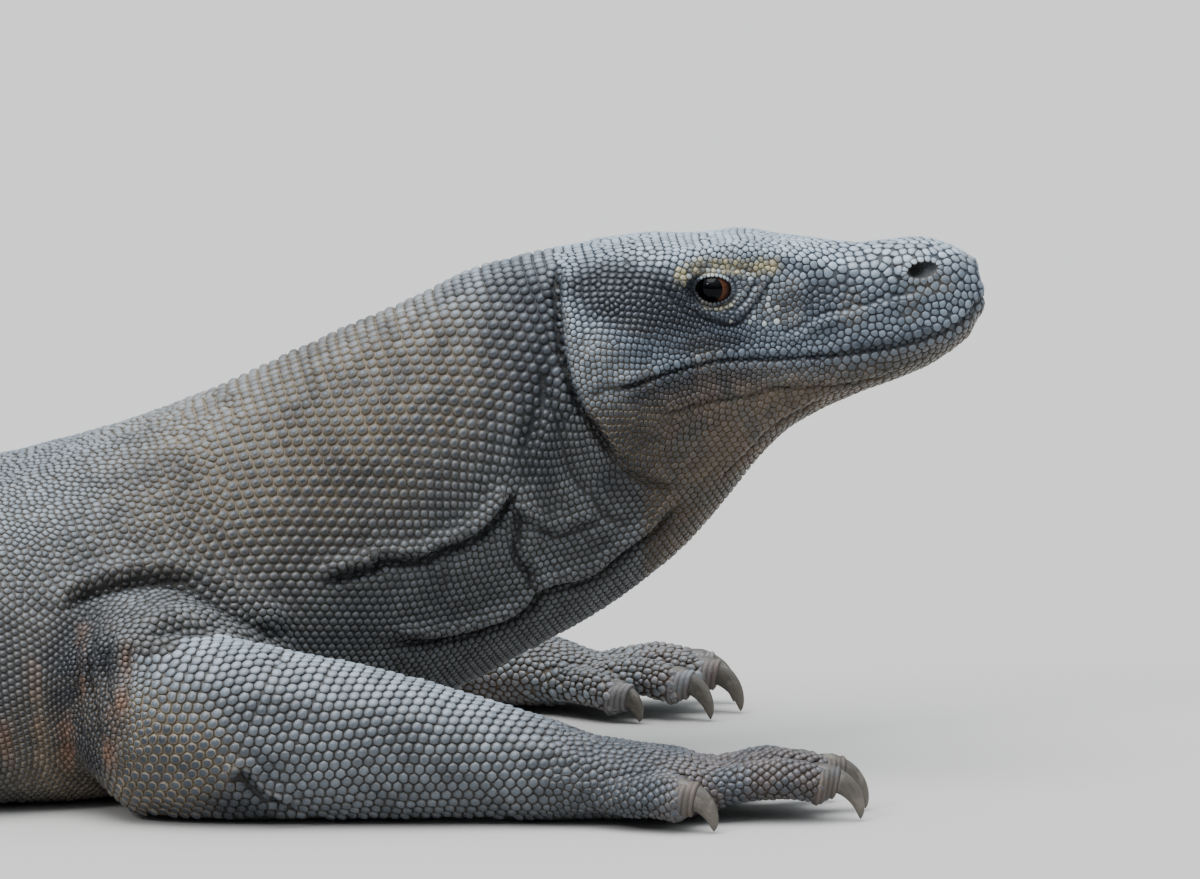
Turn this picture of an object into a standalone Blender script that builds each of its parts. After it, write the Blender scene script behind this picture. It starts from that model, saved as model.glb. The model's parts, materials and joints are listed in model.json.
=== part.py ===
"""Komodo dragon lying on its belly with its head raised: a still, life-size museum model.

Metres, +Z up, nose towards +X, the animal's left side towards +Y. The origin is on the floor,
in the middle of the flat that the belly rests on. The body is one long loft of ribs, parted by thin
cuts into head, neck, trunk and tail. Each limb is a loft of its own, let into the trunk, and each
hand or foot is a palm with its five toes. Claws and eyes are separate pieces.
"""

import math
from collections import namedtuple

import bmesh
import bpy
import numpy as np
from mathutils import Matrix, Vector

Z = Vector((0, 0, 1))
GAP = 0.0003  # clearance left between neighbouring pieces
SNOUT_X = 0.7735  # nose tip, ahead of the origin
TAIL_TIP_X = -1.740  # tail tip, before the tail is bent round

# ---- the body: ribs from the nose to the tail tip -----------------------------------------------
# A rib is a closed section. It stands in the plane through its top and bottom point and is widest
# at its belt, given as a share of its height. The powers square it off: 2 is an ellipse.
Rib = namedtuple("Rib", "name top bottom half_width belt upper lower")

RIBS = (
    Rib("nose tip", (0.7735, 0.2530), (0.7737, 0.2430), 0.0050, 0.50, 2.0, 2.0),
    Rib("lips", (0.7695, 0.2625), (0.7700, 0.2290), 0.0180, 0.48, 2.1, 2.1),
    Rib("muzzle front", (0.7575, 0.2705), (0.7560, 0.2160), 0.0262, 0.42, 2.3, 2.1),
    Rib("nostrils", (0.7370, 0.2750), (0.7340, 0.2040), 0.0305, 0.36, 2.4, 2.1),
    Rib("muzzle", (0.7080, 0.2730), (0.7055, 0.1935), 0.0330, 0.36, 2.5, 2.1),
    Rib("before the eyes", (0.6740, 0.2740), (0.6795, 0.1815), 0.0375, 0.40, 2.9, 2.0),
    Rib("eyes", (0.6400, 0.2770), (0.6590, 0.1625), 0.0430, 0.48, 3.2, 1.9),
    Rib("temples", (0.6060, 0.2765), (0.6420, 0.1390), 0.0500, 0.55, 2.8, 1.8),
    Rib("jaw muscles", (0.5770, 0.2735), (0.6250, 0.1180), 0.0540, 0.60, 2.4, 1.8),
    Rib("nape", (0.5480, 0.2690), (0.6010, 0.0970), 0.0550, 0.58, 2.3, 1.9),
    Rib("throat", (0.5150, 0.2605), (0.5740, 0.0780), 0.0590, 0.54, 2.2, 2.0),
    Rib("front of the neck", (0.4720, 0.2415), (0.5380, 0.0590), 0.0660, 0.50, 2.1, 2.1),
    Rib("neck", (0.4260, 0.2195), (0.4960, 0.0370), 0.0780, 0.46, 2.1, 2.2),
    Rib("withers", (0.3760, 0.1970), (0.4420, 0.0100), 0.0950, 0.42, 2.1, 2.3),
    Rib("shoulders", (0.3200, 0.1755), (0.3700, -0.0200), 0.1300, 0.38, 2.1, 2.6),
    Rib("behind the shoulders", (0.2400, 0.1570), (0.2640, -0.0280), 0.1680, 0.37, 2.1, 2.8),
    Rib("ribcage", (0.1300, 0.1590), (0.1340, -0.0280), 0.1760, 0.37, 2.1, 2.8),
    Rib("belly", (0.0000, 0.1640), (0.0000, -0.0260), 0.1780, 0.37, 2.1, 2.8),
    Rib("loin", (-0.1500, 0.1600), (-0.1500, -0.0200), 0.1560, 0.37, 2.1, 2.7),
    Rib("flank", (-0.2600, 0.1510), (-0.2600, -0.0100), 0.1250, 0.40, 2.1, 2.4),
    Rib("hips", (-0.3500, 0.1440), (-0.3500, -0.0080), 0.0980, 0.44, 2.1, 2.3),
    Rib("tail root", (-0.4500, 0.1300), (-0.4500, -0.0060), 0.0760, 0.46, 2.0, 2.2),
    Rib("tail swell", (-0.6000, 0.1120), (-0.6000, -0.0050), 0.0580, 0.46, 2.0, 2.2),
    Rib("tail waist", (-0.8600, 0.0830), (-0.8600, -0.0040), 0.0370, 0.44, 1.9, 2.2),
    Rib("tail blade", (-1.1600, 0.0560), (-1.1600, -0.0030), 0.0230, 0.42, 1.9, 2.2),
    Rib("tail lash", (-1.4600, 0.0340), (-1.4600, -0.0020), 0.0130, 0.42, 1.9, 2.2),
    Rib("tail end", (-1.6600, 0.0190), (-1.6600, -0.0010), 0.0075, 0.44, 2.0, 2.2),
    Rib("tail tip", (TAIL_TIP_X, 0.0095), (TAIL_TIP_X, 0.0015), 0.0035, 0.50, 2.0, 2.0),
)

# Swellings of the flanks of the head, neck and shoulders: centre, half-size along x and z, and how
# far the surface is pushed out sideways and up.
Swelling = namedtuple("Swelling", "name x z reach_x reach_z out up")

SWELLINGS = (
    Swelling("brow ridge", 0.646, 0.2680, 0.026, 0.0080, 0.0050, 0.0022),
    Swelling("eye hollow", 0.634, 0.2500, 0.019, 0.0110, -0.0042, 0.0),
    Swelling("hollow before the eye", 0.680, 0.2500, 0.022, 0.0120, -0.0020, 0.0),
    Swelling("nostril dome", 0.740, 0.2640, 0.016, 0.0110, 0.0030, 0.0010),
    Swelling("upper lip", 0.712, 0.2290, 0.050, 0.0085, 0.0022, 0.0),
    Swelling("lower lip", 0.690, 0.2080, 0.050, 0.0090, 0.0024, 0.0),
    Swelling("jaw muscle", 0.594, 0.2230, 0.025, 0.0300, 0.0085, 0.0),
    Swelling("temple", 0.598, 0.2560, 0.024, 0.0110, 0.0030, 0.0008),
    Swelling("jaw angle", 0.600, 0.1890, 0.026, 0.0130, 0.0060, 0.0),
    Swelling("side of the neck", 0.475, 0.1650, 0.050, 0.0450, 0.0060, 0.0),
    Swelling("shoulder", 0.365, 0.1000, 0.055, 0.0400, 0.0080, 0.0),
    Swelling("hip", -0.330, 0.0900, 0.060, 0.0350, 0.0060, 0.0),
)

BODY_SEGMENTS = 22
NECK_CUT_X = 0.546

# Parts of the body loft: name, x of its front and rear cut along the top line, rings, segments.
BodyPart = namedtuple("BodyPart", "name front rear rings segments")

BODY_PARTS = (
    BodyPart("head", SNOUT_X, NECK_CUT_X, 23, 28),
    BodyPart("neck_front", NECK_CUT_X, 0.4500, 6, BODY_SEGMENTS),
    BodyPart("neck_rear", 0.4500, 0.3380, 5, BODY_SEGMENTS),
    BodyPart("chest", 0.3380, 0.1400, 5, BODY_SEGMENTS),
    BodyPart("belly", 0.1400, -0.1700, 6, BODY_SEGMENTS),
    BodyPart("pelvis", -0.1700, -0.4300, 6, BODY_SEGMENTS),
    BodyPart("tail_root", -0.4300, -0.7200, 5, BODY_SEGMENTS),
    BodyPart("tail_middle", -0.7200, -1.0400, 5, 16),
    BodyPart("tail_rear", -1.0400, -1.3900, 5, 12),
    BodyPart("tail_tip", -1.3900, TAIL_TIP_X, 6, 10),
)

# Plan of the lying animal, as a chain of arcs that starts under the chest and runs to the tail tip:
# length along the body and the turn over it, in degrees, to the animal's left where positive.
PLAN_START_X = 0.160
PLAN_ARCS = ((0.36, 9.0), (0.34, -13.0), (0.42, -32.0), (0.44, 16.0), (0.40, 34.0))

# ---- mouth, nostrils and eyes --------------------------------------------------------------------
# The mouth line runs back from the lips to the corner of the mouth, then down in front of the throat.
MOUTH_LINE = (
    (0.800, 0.2530),
    (0.771, 0.2470),
    (0.751, 0.2305),
    (0.705, 0.2200),
    (0.655, 0.2175),
    (0.620, 0.2125),
    (0.594, 0.2045),
    (0.586, 0.1990),
    (0.590, 0.1880),
    (0.630, 0.1500),
    (0.664, 0.1220),
)
MOUTH_CUT, MOUTH_STEPS = 0.0005, 13
EYE_CENTRE = Vector((0.6340, 0.0332, 0.2535))
EYE_RADIUS = 0.0098
BALL_SEGMENTS = 12
NOSTRIL_CENTRE = Vector((0.7410, 0.0268, 0.2625))
NOSTRIL_SIZE = Vector((0.0066, 0.0060, 0.0038))
NOSTRIL_SLOPE = math.radians(14)

# ---- limbs ---------------------------------------------------------------------------------------
# A joint of a limb's loft: where its middle is, and half its width and height there. The points are
# those of a right limb, with y measured away from the midline, and x before the body is bent.
Joint = namedtuple("Joint", "x y z half_width half_height")

RIGHT_ARM = dict(
    upper=(
        Joint(0.390, 0.040, 0.072, 0.055, 0.046),
        Joint(0.366, 0.090, 0.068, 0.056, 0.048),
        Joint(0.348, 0.122, 0.064, 0.052, 0.048),
        Joint(0.344, 0.150, 0.054, 0.042, 0.043),
    ),
    lower=(
        Joint(0.3120, 0.1470, 0.0400, 0.012, 0.014),
        Joint(0.3220, 0.1480, 0.0410, 0.028, 0.030),
        Joint(0.3440, 0.1490, 0.0430, 0.038, 0.0450),
        Joint(0.3790, 0.1510, 0.0445, 0.042, 0.0500),
        Joint(0.4200, 0.1530, 0.0415, 0.041, 0.0460),
        Joint(0.4650, 0.1545, 0.0370, 0.037, 0.0400),
        Joint(0.5050, 0.1560, 0.0320, 0.033, 0.0350),
        Joint(0.5450, 0.1570, 0.0255, 0.030, 0.0280),
        Joint(0.5720, 0.1575, 0.0215, 0.030, 0.0220),
        Joint(0.5970, 0.1560, 0.0195, 0.033, 0.0200),
        Joint(0.6220, 0.1510, 0.0175, 0.031, 0.0180),
        Joint(0.6350, 0.1490, 0.0155, 0.025, 0.0135),
    ),
    toe_root=9,
)
HAND_TURN = math.radians(-6)  # hands point a little inwards
LEFT_ARM_BACK = 0.060  # the left arm lies this much further back
LEFT_ARM_OUT = 0.020  # and this much further from the midline

LEG = dict(
    upper=(
        Joint(-0.335, 0.020, 0.084, 0.068, 0.052),
        Joint(-0.322, 0.090, 0.080, 0.066, 0.052),
        Joint(-0.290, 0.150, 0.070, 0.058, 0.050),
        Joint(-0.262, 0.200, 0.054, 0.046, 0.043),
    ),
    lower=(
        Joint(-0.2180, 0.2280, 0.0400, 0.012, 0.014),
        Joint(-0.2280, 0.2260, 0.0410, 0.025, 0.028),
        Joint(-0.2480, 0.2220, 0.0430, 0.036, 0.041),
        Joint(-0.2800, 0.2180, 0.0430, 0.040, 0.0450),
        Joint(-0.3200, 0.2200, 0.0390, 0.037, 0.0410),
        Joint(-0.3600, 0.2280, 0.0320, 0.031, 0.0340),
        Joint(-0.3920, 0.2400, 0.0255, 0.026, 0.0280),
    ),
)
# The foot turns forward from the ankle. Its loft runs from the heel to the roots of the toes.
FOOT = (
    Joint(-0.4240, 0.2400, 0.0180, 0.014, 0.0160),
    Joint(-0.4160, 0.2470, 0.0200, 0.026, 0.0230),
    Joint(-0.3980, 0.2630, 0.0200, 0.031, 0.0235),
    Joint(-0.3740, 0.2850, 0.0170, 0.034, 0.0200),
    Joint(-0.3540, 0.3040, 0.0140, 0.036, 0.0170),
    Joint(-0.3440, 0.3140, 0.0115, 0.028, 0.0120),
)

# A toe: where it leaves the palm (ahead of and across from the palm's root joint, outwards), its
# length, turn, thickness and the heights of its middle at the knuckle and at the claw.
Toe = namedtuple("Toe", "ahead across length yaw radius knuckle tip")

HAND_TOES = (
    Toe(0.016, -0.024, 0.044, -28.0, 0.0106, 0.0170, 0.0120),
    Toe(0.032, -0.018, 0.056, -16.0, 0.0112, 0.0220, 0.0175),
    Toe(0.036, -0.003, 0.062, -6.0, 0.0116, 0.0235, 0.0190),
    Toe(0.032, 0.012, 0.060, 4.0, 0.0116, 0.0230, 0.0185),
    Toe(-0.010, 0.027, 0.030, 22.0, 0.0125, 0.0180, 0.0155),
)
FOOT_TOES = (
    Toe(0.016, -0.026, 0.036, -26.0, 0.0104, 0.0170, 0.0120),
    Toe(0.030, -0.018, 0.056, -11.0, 0.0110, 0.0215, 0.0170),
    Toe(0.036, -0.003, 0.072, 0.0, 0.0114, 0.0225, 0.0185),
    Toe(0.032, 0.014, 0.082, 9.0, 0.0114, 0.0225, 0.0180),
    Toe(-0.006, 0.024, 0.048, 36.0, 0.0108, 0.0170, 0.0140),
)
TOE_ROOT_Z = 0.0165
# A claw leaves its toe a little above the middle, turns down through these angles and ends just
# above the floor. Its length follows from the drop.
CLAW_RISE = 0.0028
CLAW_START, CLAW_END = math.radians(12), math.radians(88)
CLAW_POINT_Z = 0.0012
CLAW_DEEP, CLAW_WIDE = 0.62, 0.46  # half-sizes of its base, as shares of the toe's radius
CLAW_STEPS = 4
ARM_RINGS, WRIST_RING = 16, 11
UPPER_RINGS, SHANK_RINGS, FOOT_RINGS = 7, 10, 7
LIMB_SEGMENTS, TOE_SEGMENTS, CLAW_SEGMENTS = 10, 6, 5
TOE_BURIED = 0.014  # how far back into the palm a toe reaches

# ---- finishes: colour, roughness -----------------------------------------------------------------
FINISHES = dict(
    hide=((0.155, 0.150, 0.142, 1.0), 0.62),
    claw=((0.190, 0.165, 0.135, 1.0), 0.38),
    eye=((0.020, 0.012, 0.008, 1.0), 0.08),
)


# ---- curves --------------------------------------------------------------------------------------
def through(knots, values, at):
    """A smooth curve through values at the knots, read at the places given (cubic, no overshoot)."""
    knots, values, at = np.asarray(knots), np.asarray(values, float), np.atleast_1d(at)
    slope = np.diff(values, axis=0) / np.diff(knots).reshape((-1,) + (1,) * (values.ndim - 1))
    same_way = slope[:-1] * slope[1:] > 0
    mean = 2 * slope[:-1] * slope[1:] / np.where(same_way, slope[:-1] + slope[1:], 1.0)
    tangent = np.concatenate([slope[:1], np.where(same_way, mean, 0.0), slope[-1:]])
    i = np.clip(np.searchsorted(knots, at, side="right") - 1, 0, len(knots) - 2)
    span = knots[i + 1] - knots[i]
    u, span = ((at - knots[i]) / span), span
    if values.ndim > 1:
        u, span = u[:, None], span[:, None]
    return (
        values[i] * (1 + 2 * u) * (1 - u) ** 2
        + values[i + 1] * u * u * (3 - 2 * u)
        + tangent[i] * span * u * (1 - u) ** 2
        - tangent[i + 1] * span * u * u * (1 - u)
    )


def arc(at, heading, rate, length):
    """Where an arc that runs backwards from a point ends, and its heading there."""
    turned = heading + rate * length
    if abs(rate) < 1e-9:
        return at - length * np.array([math.cos(heading), math.sin(heading)]), turned
    side = np.array([math.sin(turned) - math.sin(heading), math.cos(heading) - math.cos(turned)])
    return at - side / rate, turned


def midline_arcs():
    """The arcs of the midline in plan: each one's first x on the straight body, point and heading."""
    x, at, heading, arcs = PLAN_START_X, np.array([PLAN_START_X, 0.0]), 0.0, []
    for length, turn in PLAN_ARCS:
        rate = math.radians(turn) / length
        arcs.append((x, at, heading, rate))
        at, heading = arc(at, heading, rate, length)
        x -= length
    return arcs


MIDLINE = midline_arcs()


def plan(x):
    """The midline's point in plan for an x of the straight body, and its heading there."""
    if x >= PLAN_START_X:
        return np.array([x, 0.0]), 0.0
    first, at, heading, rate = [run for run in MIDLINE if run[0] >= x][-1]
    return arc(at, heading, rate, first - x)


def bend(points):
    """Carries points from the straight body to the bent one. Ahead of the chest nothing moves."""
    bent = np.array(points, float)
    for point in bent:
        middle, heading = plan(point[0])
        point[:2] = middle + point[1] * np.array([-math.sin(heading), math.cos(heading)])
    return bent


def carry(points, x):
    """Carries points with the bent body as one stiff piece, as the section at x goes."""
    middle, heading = plan(x)
    turned = np.array([[math.cos(heading), -math.sin(heading)], [math.sin(heading), math.cos(heading)]])
    carried = np.array(points, float)
    carried[:, :2] = (carried[:, :2] - (x, 0.0)) @ turned.T + middle
    return carried


# ---- the body loft -------------------------------------------------------------------------------
RIB_TABLE = np.array([(*r.top, *r.bottom, r.half_width, r.belt, r.upper, r.lower) for r in RIBS])
RIB_TOPS = -RIB_TABLE[:, 0]  # the loft's own coordinate: how far behind the origin a rib's top is


def body_ring(top_x, segments, grow=0.0):
    """The closed section of the body whose top is at top_x, from the top round by the left side."""
    top_a, top_z, low_x, low_z, half_width, belt, upper, lower = through(RIB_TOPS, RIB_TABLE, -top_x)[0]
    top, low = np.array([top_a, top_z]), np.array([low_x, low_z])
    middle = low + belt * (top - low)
    turn = np.linspace(0, 2 * math.pi, segments, endpoint=False)
    cosine, sine = np.cos(turn), np.sin(turn)
    power = np.where(cosine > 0, upper, lower)
    rise = np.sign(cosine) * np.abs(cosine) ** (2 / power)
    side = np.sign(sine) * np.abs(sine) ** (2 / power)
    height = np.where(rise > 0, np.linalg.norm(top - middle), np.linalg.norm(middle - low)) + grow
    upright = (top - low) / np.linalg.norm(top - low)
    ring = np.empty((segments, 3))
    ring[:, 0] = middle[0] + rise * height * upright[0]
    ring[:, 1] = side * (half_width + grow)
    ring[:, 2] = middle[1] + rise * height * upright[1]
    return swell(ring)


def swell(ring):
    for s in SWELLINGS:
        weight = np.exp(-(((ring[:, 0] - s.x) / s.reach_x) ** 2) - ((ring[:, 2] - s.z) / s.reach_z) ** 2)
        weight *= np.minimum(1, np.abs(ring[:, 1]) / 0.02)
        ring[:, 1] += np.sign(ring[:, 1]) * s.out * weight
        ring[:, 2] += s.up * weight
    return ring


def ring_places(part):
    """Tops of a part's rings. Rings crowd together at the nose and the tail tip."""
    share = np.linspace(0, 1, part.rings + 1)
    if part.front == SNOUT_X:
        share = 0.72 * share + 0.28 * share**2.6
    elif part.rear == TAIL_TIP_X:
        share = 1 - (1 - share) ** 1.4
    places = part.front + share * (part.rear - part.front)
    if part.front != SNOUT_X:
        places[0] -= GAP / 2
    if part.rear != TAIL_TIP_X:
        places[-1] += GAP / 2
    return places


# ---- meshes --------------------------------------------------------------------------------------
def tube_mesh(name, rings):
    """A closed mesh through rings of points, with a flat face at each end."""
    bm = bmesh.new()
    loops = [[bm.verts.new(p) for p in ring] for ring in rings]
    for one, two in zip(loops, loops[1:]):
        for i in range(len(one)):
            j = (i + 1) % len(one)
            bm.faces.new((one[i], one[j], two[j], two[i]))
    bm.faces.new(loops[0][::-1])
    bm.faces.new(loops[-1])
    bmesh.ops.recalc_face_normals(bm, faces=bm.faces)
    bmesh.ops.triangulate(bm, faces=bm.faces)
    mesh = bpy.data.meshes.new(name)
    bm.to_mesh(mesh)
    bm.free()
    return mesh


def add(name, mesh, group):
    obj = bpy.data.objects.new(name, mesh)
    group.objects.link(obj)
    return obj


def helper(name, mesh):
    """A cutter: never rendered, and shown as wire."""
    obj = add(name, mesh, CUTTERS)
    obj.hide_render = True
    obj.display_type = "WIRE"
    return obj


def combine(obj, other, operation):
    """Applies one Boolean, so that the result can be parted or joined again."""
    boolean = obj.modifiers.new(operation.lower(), "BOOLEAN")
    boolean.operation = operation
    boolean.solver = "EXACT"
    boolean.object = other
    bpy.context.view_layer.update()
    made = bpy.data.meshes.new_from_object(obj.evaluated_get(bpy.context.evaluated_depsgraph_get()))
    obj.modifiers.clear()
    obj.data = made
    return obj


def plane_underside(obj):
    """Cuts away what is below the floor, so that the piece rests on a flat."""
    return combine(obj, FLOOR, "DIFFERENCE")


def keep_largest(obj):
    """Drops the crumbs that a cut leaves, such as the root of a limb on the far side of the body."""
    bm = bmesh.new()
    bm.from_mesh(obj.data)
    islands = islands_of(bm)
    islands.sort(key=lambda verts: -spread(verts))
    for verts in islands[1:]:
        bmesh.ops.delete(bm, geom=verts, context="VERTS")
    bm.to_mesh(obj.data)
    bm.free()
    return obj


def islands_of(bm):
    """The separate bodies of a mesh, each as its list of vertices."""
    left, islands = set(bm.verts), []
    while left:
        found, edge = [], [left.pop()]
        while edge:
            vert = edge.pop()
            found.append(vert)
            for link in vert.link_edges:
                other = link.other_vert(vert)
                if other in left:
                    left.remove(other)
                    edge.append(other)
        islands.append(found)
    return islands


def spread(verts):
    points = np.array([v.co for v in verts])
    return float(np.prod(points.max(0) - points.min(0) + 1e-6))


# ---- body, head and mouth ------------------------------------------------------------------------
def make_body():
    """Each part of the body loft, closed by flat faces at its two cuts."""
    for part in BODY_PARTS:
        rings = [bend(body_ring(x, part.segments)) for x in ring_places(part)]
        dress(add(part.name, tube_mesh(part.name, rings), MODEL), "hide")
    for part in BODY_PARTS[2:]:
        plane_underside(MODEL.objects[part.name])


def body_cutter():
    """The body from the neck to the tail root, a gap larger, which the limbs are cut back from."""
    places = [x for part in BODY_PARTS[1:7] for x in ring_places(part)]
    rings = [bend(body_ring(x, BODY_SEGMENTS, grow=GAP)) for x in places]
    return helper("body_cutter", tube_mesh("body_cutter", rings))


def mouth_cutter():
    """A thin curtain along the mouth line, which parts the lower jaw from the head."""
    line = np.array(MOUTH_LINE)
    length = np.concatenate([[0], np.cumsum(np.linalg.norm(np.diff(line, axis=0), axis=1))])
    path = through(length, line, np.linspace(0, length[-1], MOUTH_STEPS))
    along = np.gradient(path, axis=0)
    across = np.stack([-along[:, 1], along[:, 0]], 1) / np.linalg.norm(along, axis=1)[:, None]
    outline = np.concatenate([path + across * MOUTH_CUT / 2, (path - across * MOUTH_CUT / 2)[::-1]])
    sides = [[(x, y, z) for x, z in outline] for y in (-0.12, 0.12)]
    return helper("mouth_cutter", tube_mesh("mouth_cutter", sides))


def ball(name, centre, radii, tilt=0.0):
    bm = bmesh.new()
    bmesh.ops.create_uvsphere(bm, u_segments=BALL_SEGMENTS, v_segments=BALL_SEGMENTS // 2, radius=1.0)
    place = Matrix.Translation(centre) @ Matrix.Rotation(tilt, 4, "Y") @ Matrix.Diagonal((*radii, 1))
    bmesh.ops.transform(bm, matrix=place @ Matrix.Rotation(math.pi / 2, 4, "X"), verts=bm.verts)
    mesh = bpy.data.meshes.new(name)
    bm.to_mesh(mesh)
    bm.free()
    return mesh


def make_head():
    """Sinks the nostrils and eye sockets into the head, sets the eyes, and parts the lower jaw."""
    head = MODEL.objects["head"]
    for side, word in ((1, "left"), (-1, "right")):
        mirror = Vector((1, side, 1))
        nostril = ball("nostril_" + word, NOSTRIL_CENTRE * mirror, NOSTRIL_SIZE, -NOSTRIL_SLOPE)
        combine(head, helper("nostril_" + word, nostril), "DIFFERENCE")
        socket_radii = Vector((EYE_RADIUS + GAP,) * 3)
        socket = ball("socket_" + word, EYE_CENTRE * mirror, socket_radii)
        combine(head, helper("socket_" + word, socket), "DIFFERENCE")
        eye = ball("eye_" + word, EYE_CENTRE * mirror, Vector((EYE_RADIUS,) * 3))
        dress(add("eye_" + word, eye, MODEL), "eye")
    combine(head, mouth_cutter(), "DIFFERENCE")
    part_lower_jaw(head)


def part_lower_jaw(head):
    """Moves the body under the mouth line into an object of its own."""
    bm = bmesh.new()
    bm.from_mesh(head.data)
    islands = sorted(islands_of(bm), key=lambda verts: -spread(verts))
    top, jaw = islands[0], islands[1]
    for name, drop in (("lower_jaw", top), ("head", jaw)):
        kept = bm.copy()
        kept.verts.ensure_lookup_table()
        gone = {v.index for v in drop} | {v.index for island in islands[2:] for v in island}
        bmesh.ops.delete(kept, geom=[kept.verts[i] for i in gone], context="VERTS")
        mesh = bpy.data.meshes.new(name)
        kept.to_mesh(mesh)
        kept.free()
        if name == "head":
            head.data = mesh
            dress(head, "hide")
        else:
            dress(add(name, mesh, MODEL), "hide")
    bm.free()


# ---- limbs ---------------------------------------------------------------------------------------
def limb_rings(joints, count, side, grow=0.0):
    """Elliptic sections along a limb's joints. The sections stand square to the way it runs."""
    table = np.array(joints, float)
    table[:, 1] *= side
    steps = np.linalg.norm(np.diff(table[:, :3], axis=0), axis=1)
    length = np.concatenate([[0], np.cumsum(steps)])
    places = np.linspace(0, length[-1], count)
    rows = through(length, table, places)
    along = np.gradient(through(length, table[:, :3], places), axis=0)
    rings = []
    for row, way in zip(rows, along):
        way = Vector(way).normalized()
        across = Z.cross(way).normalized()
        up = way.cross(across)
        wide, tall = row[3] + grow, row[4] + grow
        rings.append(ellipse(Vector(row[:3]), across * wide, up * tall, LIMB_SEGMENTS))
    return rings


def ellipse(middle, across, up, segments):
    turns = (2 * math.pi * i / segments for i in range(segments))
    return [middle + across * math.cos(t) + up * math.sin(t) for t in turns]


def limb_piece(name, rings, anchor, make=None):
    """A closed loft through a limb's rings, set in place beside the body's section at the anchor."""
    mesh = tube_mesh(name, [carry(ring, anchor) for ring in rings])
    return make(name, mesh) if make else add(name, mesh, MODEL)


def make_palm_and_toes(name, palm_rings, base, heading, toes, side, anchor):
    """A hand or foot: its palm joined with five toes, planed flat below, and the five claws."""
    palm = limb_piece(name, palm_rings, anchor)
    forward = Vector((math.cos(heading), side * math.sin(heading), 0))
    outward = Vector((-math.sin(heading), side * math.cos(heading), 0))
    for number, toe in enumerate(toes, 1):
        root = base + forward * toe.ahead + outward * toe.across
        angle = heading + math.radians(toe.yaw)
        way = Vector((math.cos(angle), side * math.sin(angle), 0))
        finger = limb_piece(f"{name}_toe_{number}", toe_rings(root, way, toe), anchor, helper)
        combine(palm, finger, "UNION")
        claw_base = root + way * (toe.length + GAP)
        claw = limb_piece(f"{name}_claw_{number}", claw_rings(claw_base, way, toe), anchor)
        dress(plane_underside(claw), "claw")
    dress(plane_underside(palm), "hide")


def toe_rings(root, way, toe):
    """A toe that starts inside the palm, rises to its knuckle and comes down to its claw."""
    shares = (0.0, 0.3, 0.6, 0.85, 1.0)
    heights = through((0.0, 0.6, 1.0), (TOE_ROOT_Z, toe.knuckle, toe.tip), shares)
    across, buried = Z.cross(way), toe.radius * 0.7
    middle = root - way * TOE_BURIED + Z * TOE_ROOT_Z
    rings = [ellipse(middle, across * buried, Z * buried, TOE_SEGMENTS)]
    for share, height, thickness in zip(shares, heights, (0.95, 1.0, 1.04, 1.02, 0.90)):
        middle, radius = root + way * (share * toe.length) + Z * height, toe.radius * thickness
        rings.append(ellipse(middle, across * radius, Z * radius, TOE_SEGMENTS))
    return rings


def claw_rings(base, way, toe):
    """A claw that curves down from the toe to its point, just above the floor."""
    across, top = Z.cross(way), toe.tip + CLAW_RISE
    turn = CLAW_END - CLAW_START
    radius = (top - CLAW_POINT_Z) / (math.cos(CLAW_START) - math.cos(CLAW_END))
    rings = []
    for share in np.linspace(0, 1, CLAW_STEPS + 1):
        angle = CLAW_START + turn * share
        along = radius * (math.sin(angle) - math.sin(CLAW_START))
        down = radius * (math.cos(CLAW_START) - math.cos(angle))
        lean = angle * min(1.0, 3 * share)  # the base stands square to the toe
        up = Z * math.cos(lean) + way * math.sin(lean)
        size = toe.radius * ((1 - share) ** 0.6 + 0.05)
        middle = base + way * along + Z * (top - down)
        rings.append(ellipse(middle, across * size * CLAW_WIDE, up * size * CLAW_DEEP, CLAW_SEGMENTS))
    return rings


def shifted(joints, back, out):
    return tuple(j._replace(x=j.x - back, y=j.y + out) for j in joints)


def make_arm(word, side, back, out):
    upper = shifted(RIGHT_ARM["upper"], back, out)
    lower = shifted(RIGHT_ARM["lower"], back, out)
    anchor = upper[0].x
    forearm, palm = split_at(limb_rings(lower, ARM_RINGS, side), WRIST_RING)
    around = limb_rings(lower, ARM_RINGS, side, GAP)
    upper_rings = limb_rings(upper, UPPER_RINGS, side)
    make_upper_and_lower(f"upper_arm_{word}", upper_rings, f"forearm_{word}", forearm, around, anchor)
    root = lower[RIGHT_ARM["toe_root"]]
    base = Vector((root.x, side * root.y, 0))
    make_palm_and_toes(f"hand_{word}", palm, base, HAND_TURN, HAND_TOES, side, anchor)


def make_leg(word, side):
    anchor = LEG["upper"][0].x
    upper_rings = limb_rings(LEG["upper"], UPPER_RINGS, side)
    shank = limb_rings(LEG["lower"], SHANK_RINGS, side)
    around = limb_rings(LEG["lower"], SHANK_RINGS, side, GAP)
    make_upper_and_lower(f"thigh_{word}", upper_rings, f"shank_{word}", shank, around, anchor)
    heel = limb_piece(f"heel_{word}", limb_rings(FOOT, FOOT_RINGS, side, GAP), anchor, helper)
    keep_largest(combine(MODEL.objects[f"shank_{word}"], heel, "DIFFERENCE"))
    ankle, root, front = FOOT[2], FOOT[4], FOOT[-1]
    heading = math.atan2(front.y - ankle.y, front.x - ankle.x)
    base = Vector((root.x, side * root.y, 0))
    foot = limb_rings(FOOT, FOOT_RINGS, side)
    make_palm_and_toes(f"foot_{word}", foot, base, heading, FOOT_TOES, side, anchor)


def split_at(rings, index):
    """Two runs of rings that part at a ring, with the gap between them."""
    step = (rings[index + 1][0] - rings[index][0]).normalized() * GAP
    return rings[: index + 1], [[p + step for p in rings[index]], *rings[index + 1 :]]


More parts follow.
